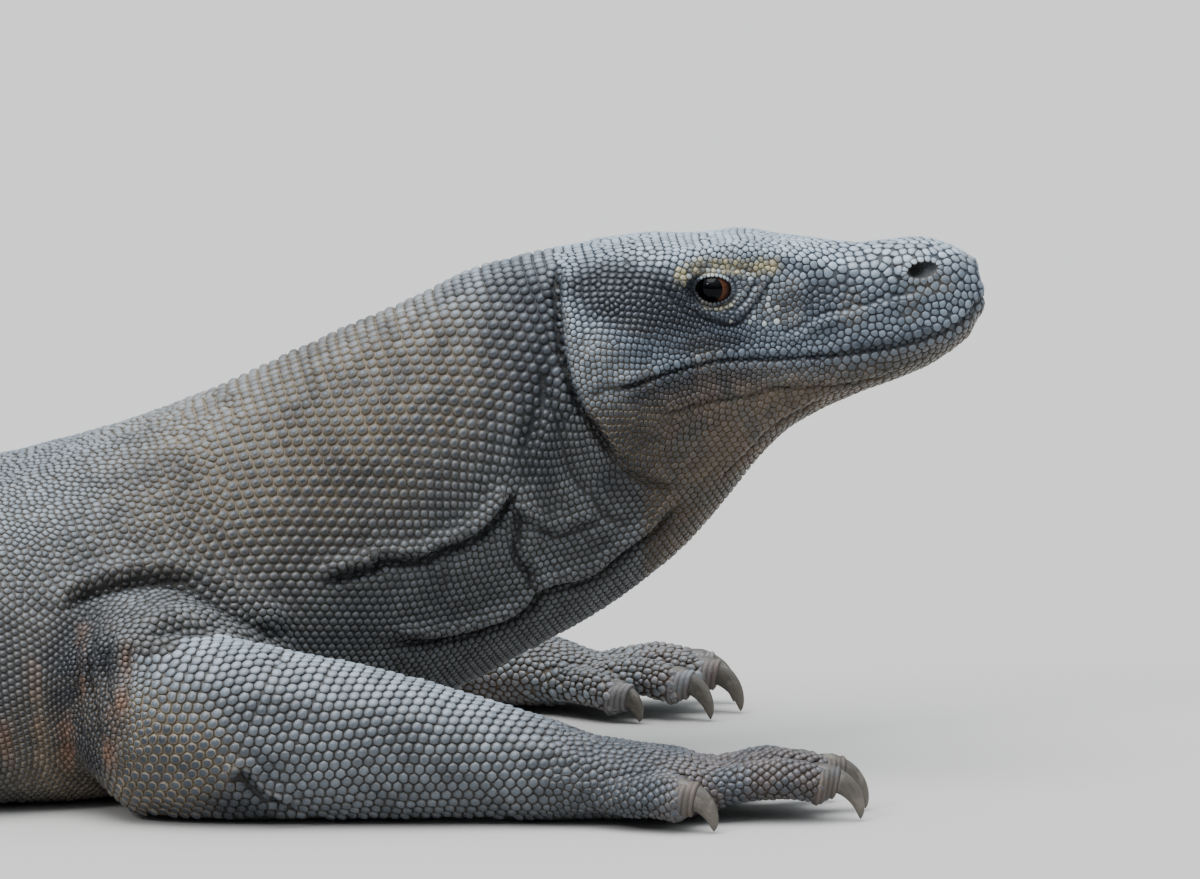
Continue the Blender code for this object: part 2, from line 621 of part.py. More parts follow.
def make_upper_and_lower(upper_name, upper_rings, lower_name, lower_rings, around_lower, anchor):
    """The forearm or shank stops at the body. The upper piece fills the space between the two."""
    body = CUTTERS.objects["body_cutter"]
    lower = combine(limb_piece(lower_name, lower_rings, anchor), body, "DIFFERENCE")
    dress(keep_largest(plane_underside(lower)), "hide")
    around = limb_piece(lower_name + "_cutter", around_lower, anchor, helper)
    upper = combine(limb_piece(upper_name, upper_rings, anchor), body, "DIFFERENCE")
    combine(upper, around, "DIFFERENCE")
    dress(keep_largest(plane_underside(upper)), "hide")


# ---- finishes and scene --------------------------------------------------------------------------
def finish_of(name):
    found = bpy.data.materials.get(name)
    if found:
        return found
    colour, roughness = FINISHES[name]
    material = bpy.data.materials.new(name)
    material.use_nodes = True
    shader = material.node_tree.nodes["Principled BSDF"]
    shader.inputs["Base Color"].default_value = colour
    shader.inputs["Roughness"].default_value = roughness
    return material


def dress(obj, finish):
    obj.data.materials.clear()
    obj.data.materials.append(finish_of(finish))
    obj.data.shade_smooth()
    return obj


def clear_scene():
    for obj in list(bpy.data.objects):
        bpy.data.objects.remove(obj)


def new_collection(name):
    made = bpy.data.collections.new(name)
    bpy.context.scene.collection.children.link(made)
    return made


def floor_block():
    bm = bmesh.new()
    bmesh.ops.create_cube(bm, size=1.0)
    shape = Matrix.Translation((-0.4, 0, -0.25)) @ Matrix.Diagonal((4, 3, 0.5, 1))
    bmesh.ops.transform(bm, matrix=shape, verts=bm.verts)
    mesh = bpy.data.meshes.new("floor_block")
    bm.to_mesh(mesh)
    bm.free()
    return helper("floor_block", mesh)


clear_scene()
MODEL = new_collection("komodo_dragon")
CUTTERS = new_collection("cutters")
FLOOR = floor_block()
make_body()
make_head()
body_cutter()
make_arm("right", -1, 0.0, 0.0)
make_arm("left", 1, LEFT_ARM_BACK, LEFT_ARM_OUT)
make_leg("right", -1)
make_leg("left", 1)
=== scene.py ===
"""The looks of the komodo dragon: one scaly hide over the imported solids, with its eyes and claws.

Metres, +Z up, nose towards +X, the animal's left side towards +Y. The hide is rebuilt from the
solids as one fine skin, folded and creased, and set in by the depth of its scales. The scales are
laid over it in rows by Geometry Nodes, each one cut to the room that its neighbours leave it.
"""

import json
import math
from collections import namedtuple

import bmesh
import bpy
import numpy as np
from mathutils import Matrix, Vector
from mathutils.bvhtree import BVHTree
from mathutils.kdtree import KDTree

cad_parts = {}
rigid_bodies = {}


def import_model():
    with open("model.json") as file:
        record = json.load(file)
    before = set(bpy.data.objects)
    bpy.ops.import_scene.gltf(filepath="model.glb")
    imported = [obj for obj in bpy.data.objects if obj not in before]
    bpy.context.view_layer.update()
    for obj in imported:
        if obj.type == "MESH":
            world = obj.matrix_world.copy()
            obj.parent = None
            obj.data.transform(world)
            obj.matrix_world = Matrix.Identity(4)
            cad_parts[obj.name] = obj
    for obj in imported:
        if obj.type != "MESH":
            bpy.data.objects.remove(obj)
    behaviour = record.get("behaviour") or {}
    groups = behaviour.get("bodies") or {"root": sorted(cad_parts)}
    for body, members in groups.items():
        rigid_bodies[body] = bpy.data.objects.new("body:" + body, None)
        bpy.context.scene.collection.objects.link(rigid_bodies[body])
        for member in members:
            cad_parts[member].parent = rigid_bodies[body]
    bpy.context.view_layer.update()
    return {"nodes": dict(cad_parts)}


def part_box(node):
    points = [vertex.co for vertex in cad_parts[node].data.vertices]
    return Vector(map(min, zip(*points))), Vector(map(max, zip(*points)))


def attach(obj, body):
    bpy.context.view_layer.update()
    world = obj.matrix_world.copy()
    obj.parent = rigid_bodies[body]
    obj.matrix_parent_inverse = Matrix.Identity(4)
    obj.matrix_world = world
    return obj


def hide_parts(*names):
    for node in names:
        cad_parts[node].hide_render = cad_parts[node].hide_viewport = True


for old in list(bpy.data.objects):
    bpy.data.objects.remove(old)
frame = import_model()

# ---- the parts of the hide ----------------------------------------------------------------------
SIDES = ("left", "right")
TRUNK_NODES = (
    "head", "lower_jaw", "neck_front", "neck_rear", "chest", "belly",
    "pelvis", "tail_root", "tail_middle", "tail_rear", "tail_tip",
)
ARM_NODES = ("upper_arm", "forearm", "hand")
LEG_NODES = ("thigh", "shank", "foot")
PAWS = tuple((part, side) for part in ("hand", "foot") for side in SIDES)
TOES = (1, 2, 3, 4, 5)
LIMB_NODES = tuple(f"{part}_{side}" for side in SIDES for part in ARM_NODES + LEG_NODES)
HIDE_NODES = TRUNK_NODES + LIMB_NODES

# ---- sizes, in metres ---------------------------------------------------------------------------
SKIN_GRAIN = 0.0022  # size of the mesh that the folds are worked in
SKIN_TRIANGLES = 180_000
PIECE_TRIANGLES = 190_000  # the most that a piece of the coat has
LEAST_CLEARANCE = 0.0003  # the skin stays this far above the floor
AROUND = 144  # rays round each section of the trunk
RAY_REACH = 0.30  # rays towards the trunk start this far out
LIMB_ROUNDS, KNEE_ROUNDS = 56, 160  # of smoothing
UP = np.array((0.0, 0.0, 1.0))

rng = np.random.default_rng(7)


# ---- small tools on arrays ----------------------------------------------------------------------
def unit(vectors):
    return vectors / np.maximum(np.linalg.norm(vectors, axis=-1, keepdims=True), 1e-12)


def smooth(low, high, values):
    """0 below low, 1 above high, and an even S between them."""
    share = np.clip((values - low) / (high - low), 0.0, 1.0)
    return share * share * (3.0 - 2.0 * share)


def full_turn(count):
    return np.linspace(0.0, 2 * math.pi, count, endpoint=False)


def circle_of(turn, up, side):
    return np.outer(np.cos(turn), up) + np.outer(np.sin(turn), side)


def outward_of(side):
    return -1.0 if side == "right" else 1.0


def box_middle(node):
    low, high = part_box(node)
    return np.array((low + high) / 2)


def ball_of(side):
    """(middle, radius) of an eye's solid."""
    low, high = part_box(f"eye_{side}")
    return np.array((low + high) / 2), (high - low)[0] / 2


def made_of(part, word, side):
    """Which of the points belong to that solid, part being each one's index in HIDE_NODES."""
    return part == HIDE_NODES.index(f"{word}_{side}")


def points_of(mesh):
    points = np.empty(len(mesh.vertices) * 3, np.float32)
    mesh.vertices.foreach_get("co", points)
    return points.reshape(-1, 3).astype(float)


def set_points(mesh, points):
    mesh.vertices.foreach_set("co", points.astype(np.float32).ravel())


def off_floor(points, least=LEAST_CLEARANCE):
    points[:, 2] = np.maximum(points[:, 2], least)
    return points


def mesh_arrays(mesh):
    """(points, triangles) of a mesh."""
    mesh.calc_loop_triangles()
    triangles = np.empty(len(mesh.loop_triangles) * 3, np.int32)
    mesh.loop_triangles.foreach_get("vertices", triangles)
    return points_of(mesh), triangles.reshape(-1, 3)


def node_arrays(names):
    """(points, triangles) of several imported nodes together."""
    points, triangles, count = [], [], 0
    for name in names:
        more_points, more_triangles = mesh_arrays(frame["nodes"][name].data)
        points.append(more_points)
        triangles.append(more_triangles + count)
        count += len(more_points)
    return np.concatenate(points), np.concatenate(triangles)


def tree_of(points, triangles):
    return BVHTree.FromPolygons(points.tolist(), triangles.tolist())


def spots_tree(spots):
    tree = KDTree(len(spots))
    for index, spot in enumerate(spots):
        tree.insert(spot, index)
    tree.balance()
    return tree


def nearest_of(spots, points):
    """Index of the spot nearest to each point."""
    tree = spots_tree(spots)
    return np.array([tree.find(point)[1] for point in points])


def nearest_gap(spots, points):
    """Distance from each point to the nearest spot."""
    tree = spots_tree(spots)
    return np.array([tree.find(point)[2] for point in points])


def ring_faces(rings, count):
    """Quads between that many rings of count points each."""
    faces = []
    for i in range(rings - 1):
        for j in range(count):
            a, b = i * count + j, i * count + (j + 1) % count
            faces.append((a, b, b + count, a + count))
    return faces


def new_mesh(name, points, faces):
    mesh = bpy.data.meshes.new(name)
    mesh.from_pydata(np.asarray(points).tolist(), [], faces)
    mesh.update()
    return mesh


def new_object(name, mesh):
    obj = bpy.data.objects.new(name, mesh)
    bpy.context.scene.collection.objects.link(obj)
    return obj


def plain_mesh(obj):
    """What the object's modifiers make of it, as a mesh of its own. The object goes."""
    graph = bpy.context.evaluated_depsgraph_get()
    mesh = bpy.data.meshes.new_from_object(obj.evaluated_get(graph), depsgraph=graph)
    discard(obj)
    return mesh


def discard(obj):
    mesh = obj.data
    bpy.data.objects.remove(obj)
    bpy.data.meshes.remove(mesh)


def lattice_noise(points, size, seed):
    """Soft lumps from about -1 to 1, of that size, without a direction."""
    spots = np.random.default_rng(seed).uniform(-1.0, 1.0, 4096)
    cell = points / size
    base = np.floor(cell).astype(np.int64)
    share = cell - base
    share = share * share * (3.0 - 2.0 * share)
    total = np.zeros(len(points))
    for corner in range(8):
        step = np.array(((corner >> 2) & 1, (corner >> 1) & 1, corner & 1))
        place = base + step
        key = place[:, 0] * 73856093 ^ place[:, 1] * 19349663 ^ place[:, 2] * 83492791
        weight = np.prod(np.where(step, share, 1.0 - share), axis=1)
        total += weight * spots[key & 4095]
    return total


# ---- the middle line of the trunk ---------------------------------------------------------------
def section_middle(points, triangles, middle, way, reach):
    """Middle of the outline in which the plane through middle, square to way, cuts the mesh."""
    height = ((points - middle) @ way)[triangles]
    crossed = (height.min(axis=1) < 0.0) & (height.max(axis=1) > 0.0)
    corners, height = points[triangles[crossed]], height[crossed]
    ends = []
    for a, b in ((0, 1), (1, 2), (2, 0)):
        share = height[:, a] / (height[:, a] - height[:, b] + 1e-15)
        cut = corners[:, a] + (corners[:, b] - corners[:, a]) * share[:, None]
        ends.append(np.where((height[:, a] * height[:, b] < 0.0)[:, None], cut, np.nan))
    ends = np.stack(ends, axis=1)
    centres = np.nanmean(ends, axis=1)
    lengths = np.linalg.norm(np.nanmax(ends, axis=1) - np.nanmin(ends, axis=1), axis=1)
    near = np.linalg.norm(centres - middle, axis=1) < reach
    if not near.any():
        return middle
    return np.average(centres[near], axis=0, weights=lengths[near] + 1e-9)


def travelled(line):
    steps = np.linalg.norm(np.diff(line, axis=0), axis=1)
    return np.concatenate([[0.0], np.cumsum(steps)])


def at_lengths(line, lengths):
    run = travelled(line)
    return np.stack([np.interp(lengths, run, line[:, axis]) for axis in range(3)], axis=1)


def evened(line, reach):
    """The line with each point moved to the mean of its neighbours, its ends kept."""
    padded = np.concatenate([np.repeat(line[:1], reach, 0), line, np.repeat(line[-1:], reach, 0)])
    window = np.hanning(2 * reach + 3)[1:-1]
    window /= window.sum()
    soft = np.stack([np.convolve(padded[:, a], window, "valid") for a in range(3)], axis=1)
    soft[0], soft[-1] = line[0], line[-1]
    return soft


def middle_line(points, triangles, rough, step, reach, soft, rounds=3):
    line = rough
    for _ in range(rounds):
        length = travelled(line)[-1]
        line = at_lengths(line, np.linspace(0.0, length, max(4, int(length / step))))
        ways = unit(np.gradient(line, axis=0))
        moved = [line[0]]
        for middle, way in zip(line[1:-1], ways[1:-1]):
            moved.append(section_middle(points, triangles, middle, way, reach))
        moved.append(line[-1])
        line = evened(np.array(moved), soft)
    return line


Tube = namedtuple("Tube", "line run ways sides ups")


def tube_along(line):
    """A middle line with its directions: sides point to the animal's right, ups off the floor."""
    ways = unit(np.gradient(line, axis=0))
    sides = unit(np.cross(UP, ways))
    return Tube(line, travelled(line), ways, sides, np.cross(ways, sides))


def tube_at(tube, lengths):
    """(middles, ways, sides, ups) at those lengths along the tube."""
    line, *ways = (
        np.stack([np.interp(lengths, tube.run, values[:, axis]) for axis in range(3)], axis=1)
        for values in (tube.line, tube.ways, tube.sides, tube.ups)
    )
    return line, *map(unit, ways)


def trunk_tube():
    points, triangles = node_arrays(TRUNK_NODES)
    nose = points[np.argmax(points[:, 0])]
    tail = points[np.argmin(points[:, 0])]
    nose = nose * (1.0, 0.0, 1.0)
    knots = [nose] + [box_middle(name) for name in TRUNK_NODES if name != "lower_jaw"] + [tail]
    line = middle_line(points, triangles, np.array(knots), 0.010, 0.24, 6)
    return tube_along(line)


def trunk_stations(tube):
    """Lengths along the trunk where sections are taken, closest together at the nose."""
    length, lengths, here = tube.run[-1], [], 0.0012
    while here < length - 0.001:
        lengths.append(here)
        wider, widest = float(smooth(0.0, 0.03, here)), float(smooth(0.35, 0.8, here))
        here += 0.0012 + 0.0016 * wider + 0.004 * widest
    return np.array(lengths)


def trunk_radii(tube, lengths):
    """How far the solids reach from the middle line, round each section, as a smooth sheet."""
    points, triangles = node_arrays(TRUNK_NODES + tuple(f"eye_{side}" for side in SIDES))
    solids = tree_of(points, triangles)
    middles, _, sides, ups = tube_at(tube, lengths)
    turn = full_turn(AROUND)
    radii = np.zeros((len(lengths), AROUND))
    for i, middle in enumerate(middles):
        for j, ray in enumerate(circle_of(turn, ups[i], sides[i])):
            start = Vector(middle + ray * RAY_REACH)
            hit = solids.ray_cast(start, Vector(-ray), RAY_REACH)
            radii[i, j] = RAY_REACH - hit[3] if hit[0] is not None else np.nan
        found = ~np.isnan(radii[i])
        radii[i] = np.interp(turn, turn[found], radii[i][found], period=2 * math.pi)
    # Hollows narrower than five rays or sections are closed.
    for pick in (np.maximum, np.minimum):
        for _ in range(2):
            wide = np.pad(radii, ((1, 1), (0, 0)), mode="edge")
            tall = pick(pick(wide[:-2], wide[1:-1]), wide[2:])
            radii = pick(pick(np.roll(tall, 1, axis=1), tall), np.roll(tall, -1, axis=1))
    return softened(radii, lengths)


def softened(radii, lengths):
    """The sheet of radii blurred over the size of the solids' facets."""
    along = 0.0016 + 0.0060 * smooth(0.0, 0.10, lengths) + 0.020 * smooth(0.35, 0.75, lengths)
    along *= 1.0 - 0.6 * smooth(1.6, 2.4, lengths)
    spacing = np.gradient(lengths)
    apart = (lengths[:, None] - lengths[None, :]) / along[:, None]
    weight = np.exp(-0.5 * apart**2) * spacing[None, :]
    radii = (weight / weight.sum(axis=1, keepdims=True)) @ radii
    round_about = np.radians(4.5 + 3.5 * smooth(0.22, 0.5, lengths))
    waves = np.fft.rfftfreq(AROUND, 1.0 / AROUND)
    damp = np.exp(-0.5 * (waves[None, :] * round_about[:, None]) ** 2)
    return np.fft.irfft(np.fft.rfft(radii, axis=1) * damp, AROUND, axis=1)


def trunk_mesh(tube, lengths, radii):
    """The trunk from nose to tail tip as one closed mesh, a ring of points for each section."""
    middles, _, sides, ups = tube_at(tube, lengths)
    rays = np.stack([circle_of(full_turn(AROUND), up, side) for up, side in zip(ups, sides)])
    points = (middles[:, None, :] + rays * radii[:, :, None]).reshape(-1, 3)
    faces = ring_faces(len(lengths), AROUND)
    tips = np.array([tube.line[0], tube.line[-1]])
    first, last = len(points), len(points) + 1
    rear = (len(lengths) - 1) * AROUND
    for j in range(AROUND):
        after = (j + 1) % AROUND
        faces.append((first, after, j))
        faces.append((last, rear + j, rear + after))
    return new_mesh("trunk", np.concatenate([points, tips]), faces)


# ---- the skin as one mesh -----------------------------------------------------------------------
def joined_skin(trunk):
    """The trunk and the limbs' solids remeshed as one skin."""
    bm = bmesh.new()
    bm.from_mesh(trunk)
    bmesh.ops.recalc_face_normals(bm, faces=bm.faces)
    for name in LIMB_NODES:
        bm.from_mesh(frame["nodes"][name].data)
    bmesh.ops.remove_doubles(bm, verts=bm.verts, dist=1e-6)
    mesh = bpy.data.meshes.new("skin_rough")
    bm.to_mesh(mesh)
    bm.free()
    rough = new_object("skin_rough", mesh)
    remesh = rough.modifiers.new("one skin", "REMESH")
    remesh.mode = "VOXEL"
    remesh.voxel_size = SKIN_GRAIN
    return plain_mesh(rough)


def edges_of(faces, count):
    """(from, to) of each edge once, of triangles or quads."""
    pairs = np.concatenate([faces[:, (k, (k + 1) % faces.shape[1])] for k in range(faces.shape[1])])
    pairs.sort(axis=1)
    keys = np.unique(pairs[:, 0].astype(np.int64) * count + pairs[:, 1])
    return (keys // count).astype(np.int64), (keys % count).astype(np.int64)


def relaxed(values, edges, share, rounds):
    """values moved towards the mean of their neighbours, by share of the way each round."""
    a, b = edges
    count = len(values)
    valence = np.bincount(a, minlength=count) + np.bincount(b, minlength=count)
    values = values.reshape(count, -1).copy()
    for _ in range(rounds):
        for axis in range(values.shape[1]):
            column = values[:, axis]
            total = np.bincount(a, column[b], count) + np.bincount(b, column[a], count)
            values[:, axis] = column + (total / valence - column) * share
    return values


def normals_of(points, triangles):
    a, b, c = (points[triangles[:, k]] for k in range(3))
    square = np.cross(b - a, c - a)
    total = np.zeros_like(points)
    for k in range(3):
        for axis in range(3):
            total[:, axis] += np.bincount(triangles[:, k], square[:, axis], len(points))
    return unit(total)


def near_box(points, node, margin):
    """1 inside the node's box, falling to 0 at that margin outside it."""
    low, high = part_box(node)
    outside = np.maximum(np.maximum(np.array(low) - points, points - np.array(high)), 0.0)
    return 1.0 - smooth(0.0, margin, np.linalg.norm(outside, axis=1))


def limbs_smoothed(points, faces, shell_tree):
    """The limbs' facets worn down, most at the knees, and their joints with the trunk filled in."""
    edges = edges_of(faces, len(points))
    away = np.array([shell_tree.find_nearest(Vector(point), 0.05)[3] or 0.05 for point in points])
    limb = smooth(0.0004, 0.0030, away)
    limb = relaxed(limb, edges, 1.0, 8)[:, 0]
    fine = np.max([near_box(points, f"{part}_{side}", 0.020) for part, side in PAWS], axis=0)
    share = 0.5 * limb * (1.0 - 0.86 * fine)
    points = relaxed(points, edges, share, LIMB_ROUNDS)
    knees = [
        near_box(points, f"thigh_{side}", 0.040) * near_box(points, f"shank_{side}", 0.040)
        for side in SIDES
    ]
    knees = relaxed(np.max(knees, axis=0), edges, 1.0, 8)[:, 0]
    return relaxed(points, edges, 0.5 * knees, KNEE_ROUNDS)


def refined(mesh, wanted):
    """The mesh with its wanted quads cut in four."""
    bm = bmesh.new()
    bm.from_mesh(mesh)
    bm.faces.ensure_lookup_table()
    edges = {edge for index in wanted for edge in bm.faces[index].edges}
    bmesh.ops.subdivide_edges(bm, edges=list(edges), cuts=1, use_grid_fill=True)
    bmesh.ops.triangulate(bm, faces=[f for f in bm.faces if len(f.verts) > 4])
    finer = bpy.data.meshes.new("skin_fine")
    bm.to_mesh(finer)
    bm.free()
    return finer


# ---- folds and creases --------------------------------------------------------------------------
# Each runs over the side of the animal as points (x, z), from the tail towards the nose or from
# the top down. depth is how far the line sinks in, over that width. lip is how high the skin
# rises beside it, at that spread: on the left of the way that the line runs, or on the right if
# it is below 0.
Crease = namedtuple("Crease", "name route width depth lip spread")

CREASES = (
    Crease("back of the head",
        ((0.5560, 0.2680), (0.5540, 0.2576), (0.5541, 0.2460), (0.5556, 0.2291), (0.5592, 0.2112),
         (0.5648, 0.1959), (0.5724, 0.1844), (0.5791, 0.1738), (0.5862, 0.1629)),
        0.0022, 0.0052, 0.0022, 0.0060),
    Crease("behind the jaw",
        ((0.5862, 0.1629), (0.5990, 0.1540), (0.6130, 0.1500)),
        0.0030, 0.0018, 0.0010, 0.0060),
    Crease("upper lip",
        ((0.6644, 0.2315), (0.6746, 0.2323), (0.6849, 0.2381), (0.6951, 0.2409),
         (0.7090, 0.2443), (0.7228, 0.2482), (0.7330, 0.2507), (0.7448, 0.2551)),
        0.0020, 0.0014, -0.0016, 0.0042),
    Crease("under the lower lip",
        ((0.6015, 0.1917), (0.6132, 0.1925), (0.6337, 0.1965), (0.6511, 0.1981), (0.6629, 0.2014),
         (0.6783, 0.2019), (0.6953, 0.2016), (0.7092, 0.2037), (0.7247, 0.2069), (0.7324, 0.2093)),
        0.0012, 0.0017, 0.0010, 0.0045),
    Crease("front of the throat",
        ((0.6376, 0.1517), (0.6442, 0.1589), (0.6545, 0.1690), (0.6647, 0.1795), (0.6750, 0.1860),
         (0.6924, 0.1956)),
        0.0018, 0.0020, 0.0012, 0.0040),
    Crease("outer bag of the eye",
        ((0.6150, 0.2520), (0.6204, 0.2464), (0.6306, 0.2395), (0.6408, 0.2356), (0.6475, 0.2369),
         (0.6541, 0.2438), (0.6613, 0.2536), (0.6650, 0.2601)),
        0.0012, 0.0020, 0.0016, 0.0028),
    Crease("inner bag of the eye",
        ((0.6235, 0.2480), (0.6337, 0.2423), (0.6424, 0.2431), (0.6490, 0.2479), (0.6542, 0.2543),
         (0.6577, 0.2593)),
        0.0009, 0.0014, 0.0011, 0.0021),
    Crease("behind the eye",
        ((0.6066, 0.2583), (0.6132, 0.2502), (0.6204, 0.2430), (0.6306, 0.2370)),
        0.0016, 0.0012, 0.0010, 0.0040),
    Crease("brow",
        ((0.6040, 0.2650), (0.6130, 0.2690), (0.6240, 0.2713), (0.6409, 0.2728),
         (0.6645, 0.2697), (0.6819, 0.2657), (0.6950, 0.2625)),
        0.0034, -0.0017, 0.0, 0.0040),
    Crease("over the eye",
        ((0.6170, 0.2600), (0.6240, 0.2640), (0.6350, 0.2655), (0.6470, 0.2640),
         (0.6590, 0.2610)),
        0.0016, 0.0014, 0.0, 0.0040),
    Crease("hollow before the eye",
        ((0.6800, 0.2520), (0.6920, 0.2540), (0.7080, 0.2560)),
        0.0070, 0.0016, 0.0, 0.0040),
    Crease("behind the nostril",
        ((0.7240, 0.2690), (0.7245, 0.2655), (0.7259, 0.2592), (0.7310, 0.2542)),
        0.0012, 0.0012, 0.0012, 0.0040),
    Crease("cheek",
        ((0.5680, 0.2300), (0.5850, 0.2250), (0.6020, 0.2270)),
        0.0130, -0.0024, 0.0, 0.0040),
    Crease("jaw corner",
        ((0.5700, 0.2010), (0.5800, 0.2050), (0.5925, 0.2066), (0.6030, 0.2095)),
        0.0020, 0.0016, 0.0012, 0.0050),
    Crease("great neck fold",
        ((0.4300, 0.1050), (0.4438, 0.1116), (0.4605, 0.1150), (0.4656, 0.1184), (0.4843, 0.1182),
         (0.4945, 0.1223), (0.5097, 0.1272), (0.5184, 0.1331), (0.5250, 0.1396), (0.5311, 0.1482),
         (0.5337, 0.1518)),
        0.0026, 0.0055, 0.0046, 0.0062),
    Crease("above the great neck fold",
        ((0.5469, 0.2150), (0.5469, 0.2090), (0.5460, 0.1975), (0.5403, 0.1839), (0.5367, 0.1702),
         (0.5388, 0.1599), (0.5337, 0.1518)),
        0.0042, 0.0022, 0.0012, 0.0090),
    Crease("along the jaw angle",
        ((0.5490, 0.2040), (0.5541, 0.1902), (0.5571, 0.1768), (0.5607, 0.1626), (0.5673, 0.1519),
         (0.5796, 0.1368), (0.5950, 0.1280)),
        0.0034, 0.0018, -0.0014, 0.0070),
    Crease("cross fold of the throat",
        ((0.5320, 0.1380), (0.5387, 0.1357), (0.5540, 0.1275), (0.5673, 0.1321), (0.5796, 0.1352)),
        0.0026, 0.0022, 0.0014, 0.0055),
    Crease("upright fold of the throat",
        ((0.5316, 0.1466), (0.5352, 0.1322), (0.5336, 0.1180), (0.5402, 0.1066), (0.5402, 0.0960)),
        0.0028, 0.0034, 0.0024, 0.0060),
    Crease("gular ridge",
        ((0.4600, 0.0735), (0.4755, 0.0756), (0.4942, 0.0745), (0.5146, 0.0775), (0.5299, 0.0816),
         (0.5401, 0.0881), (0.5468, 0.0973), (0.5570, 0.0992), (0.5724, 0.1024), (0.5878, 0.1140),
         (0.6016, 0.1242), (0.6119, 0.1347), (0.6221, 0.1451)),
        0.0034, 0.0046, 0.0042, 0.0060),
    Crease("arch over the shoulder",
        ((0.3061, 0.0990), (0.3119, 0.1074), (0.3233, 0.1117), (0.3398, 0.1149), (0.3534, 0.1155),
         (0.3669, 0.1124), (0.3802, 0.1069), (0.3903, 0.1019), (0.4024, 0.0954), (0.4122, 0.0869),
         (0.4201, 0.0802)),
        0.0030, 0.0048, 0.0030, 0.0070),
    Crease("under the arch",
        ((0.3484, 0.0958), (0.3612, 0.0978), (0.3746, 0.0950), (0.3844, 0.0938)),
        0.0030, 0.0032, 0.0020, 0.0060),
    Crease("first armpit wrinkle",
        ((0.3120, 0.0980), (0.3129, 0.0778), (0.3140, 0.0597), (0.3161, 0.0400)),
        0.0018, 0.0022, 0.0014, 0.0036),
    Crease("second armpit wrinkle",
        ((0.3228, 0.0980), (0.3195, 0.0779), (0.3235, 0.0550), (0.3260, 0.0380)),
        0.0018, 0.0024, 0.0014, 0.0036),
    Crease("third armpit wrinkle",
        ((0.3311, 0.0990), (0.3281, 0.0781), (0.3304, 0.0598)),
        0.0018, 0.0022, 0.0014, 0.0036),
    Crease("fourth armpit wrinkle",
        ((0.3415, 0.0930), (0.3387, 0.0726), (0.3390, 0.0568)),
        0.0016, 0.0016, 0.0012, 0.0036),
    Crease("elbow",
        ((0.3892, 0.0244), (0.3972, 0.0277), (0.4021, 0.0207), (0.4121, 0.0136), (0.4254, 0.0090)),
        0.0030, 0.0036, 0.0026, 0.0060),
)
CREASE_REACH = 0.028  # how far beside a crease the skin is looked at
LEFT_SHIFT = np.array((0.0015, -0.0010))  # the left side's creases lie this much off the right's
# Soft lumps of the head's top: (x, distance from the middle, z, reach, rise).
HEAD_LUMPS = (
    (0.6560, 0.020, 0.2740, 0.0170, 0.0020),
    (0.6820, 0.016, 0.2720, 0.0110, 0.0010),
    (0.6270, 0.018, 0.2760, 0.0100, -0.0016),
    (0.7040, 0.012, 0.2700, 0.0120, -0.0016),
    (0.5960, 0.016, 0.2760, 0.0160, 0.0012),
    (0.7400, 0.012, 0.2700, 0.0140, 0.0010),
)
MOUTH = (
    (0.5796, 0.2040), (0.5913, 0.2068), (0.6015, 0.2103), (0.6132, 0.2133), (0.6306, 0.2169),
    (0.6439, 0.2182), (0.6577, 0.2179), (0.6746, 0.2180), (0.6921, 0.2186), (0.7090, 0.2204),
    (0.7295, 0.2237), (0.7449, 0.2275), (0.7568, 0.2318), (0.7656, 0.2380), (0.7705, 0.2440),
    (0.7900, 0.2500),
)
# An opening: (middle, half sizes, tilt).
NOSTRIL = ((0.7409, 0.2615), (0.0068, 0.0040), math.radians(8))
EYE_HALF, EYE_TILT = (0.0088, 0.0065), math.radians(-4)
NOSTRIL_FROM = 0.006  # the skin of the nostrils lies this far out from the middle, or more
CURVE_STEPS = 7  # pieces of a smooth line between two of its points


def eye_opening(side):
    middle = box_middle(f"eye_{side}")
    return (middle[0], middle[2]), EYE_HALF, EYE_TILT


def curved(route):
    """A close-set smooth line through the route's points."""
    knots = np.array(route, float)
    ahead = np.vstack([2 * knots[0] - knots[1], knots, 2 * knots[-1] - knots[-2]])
    share = np.linspace(0.0, 1.0, CURVE_STEPS, endpoint=False)[:, None]
    line = []
    for a, b, c, d in zip(ahead, ahead[1:], ahead[2:], ahead[3:]):
        line.append(
            0.5 * (2 * b + (c - a) * share + (2 * a - 5 * b + 4 * c - d) * share**2
                   + (3 * b - a - 3 * c + d) * share**3)
        )
    return np.vstack(line + [knots[-1:]])


def beside(flat, route, margin):
    """(indices, distance, side, share of the way) of the flat points within margin of the route."""
    line = curved(route)
    near = np.flatnonzero(
        ((flat > line.min(axis=0) - margin) & (flat < line.max(axis=0) + margin)).all(axis=1)
    )
    ways = unit(np.gradient(line, axis=0))
    gap = flat[near][:, None, :] - line[None, :, :]
    nearest = (gap**2).sum(axis=2).argmin(axis=1)
    offset = gap[np.arange(len(near)), nearest]
    across = ways[nearest, 0] * offset[:, 1] - ways[nearest, 1] * offset[:, 0]
    return near, np.linalg.norm(offset, axis=1), np.sign(across), nearest / (len(line) - 1)


def behind_head(points):
    """0 on the head, 1 behind the crease that ends it."""
    edge = np.interp(
        points[..., 2], (0.150, 0.163, 0.184, 0.211, 0.246), (0.600, 0.586, 0.572, 0.559, 0.554)
    )
    return smooth(0.004, -0.004, points[..., 0] - edge)


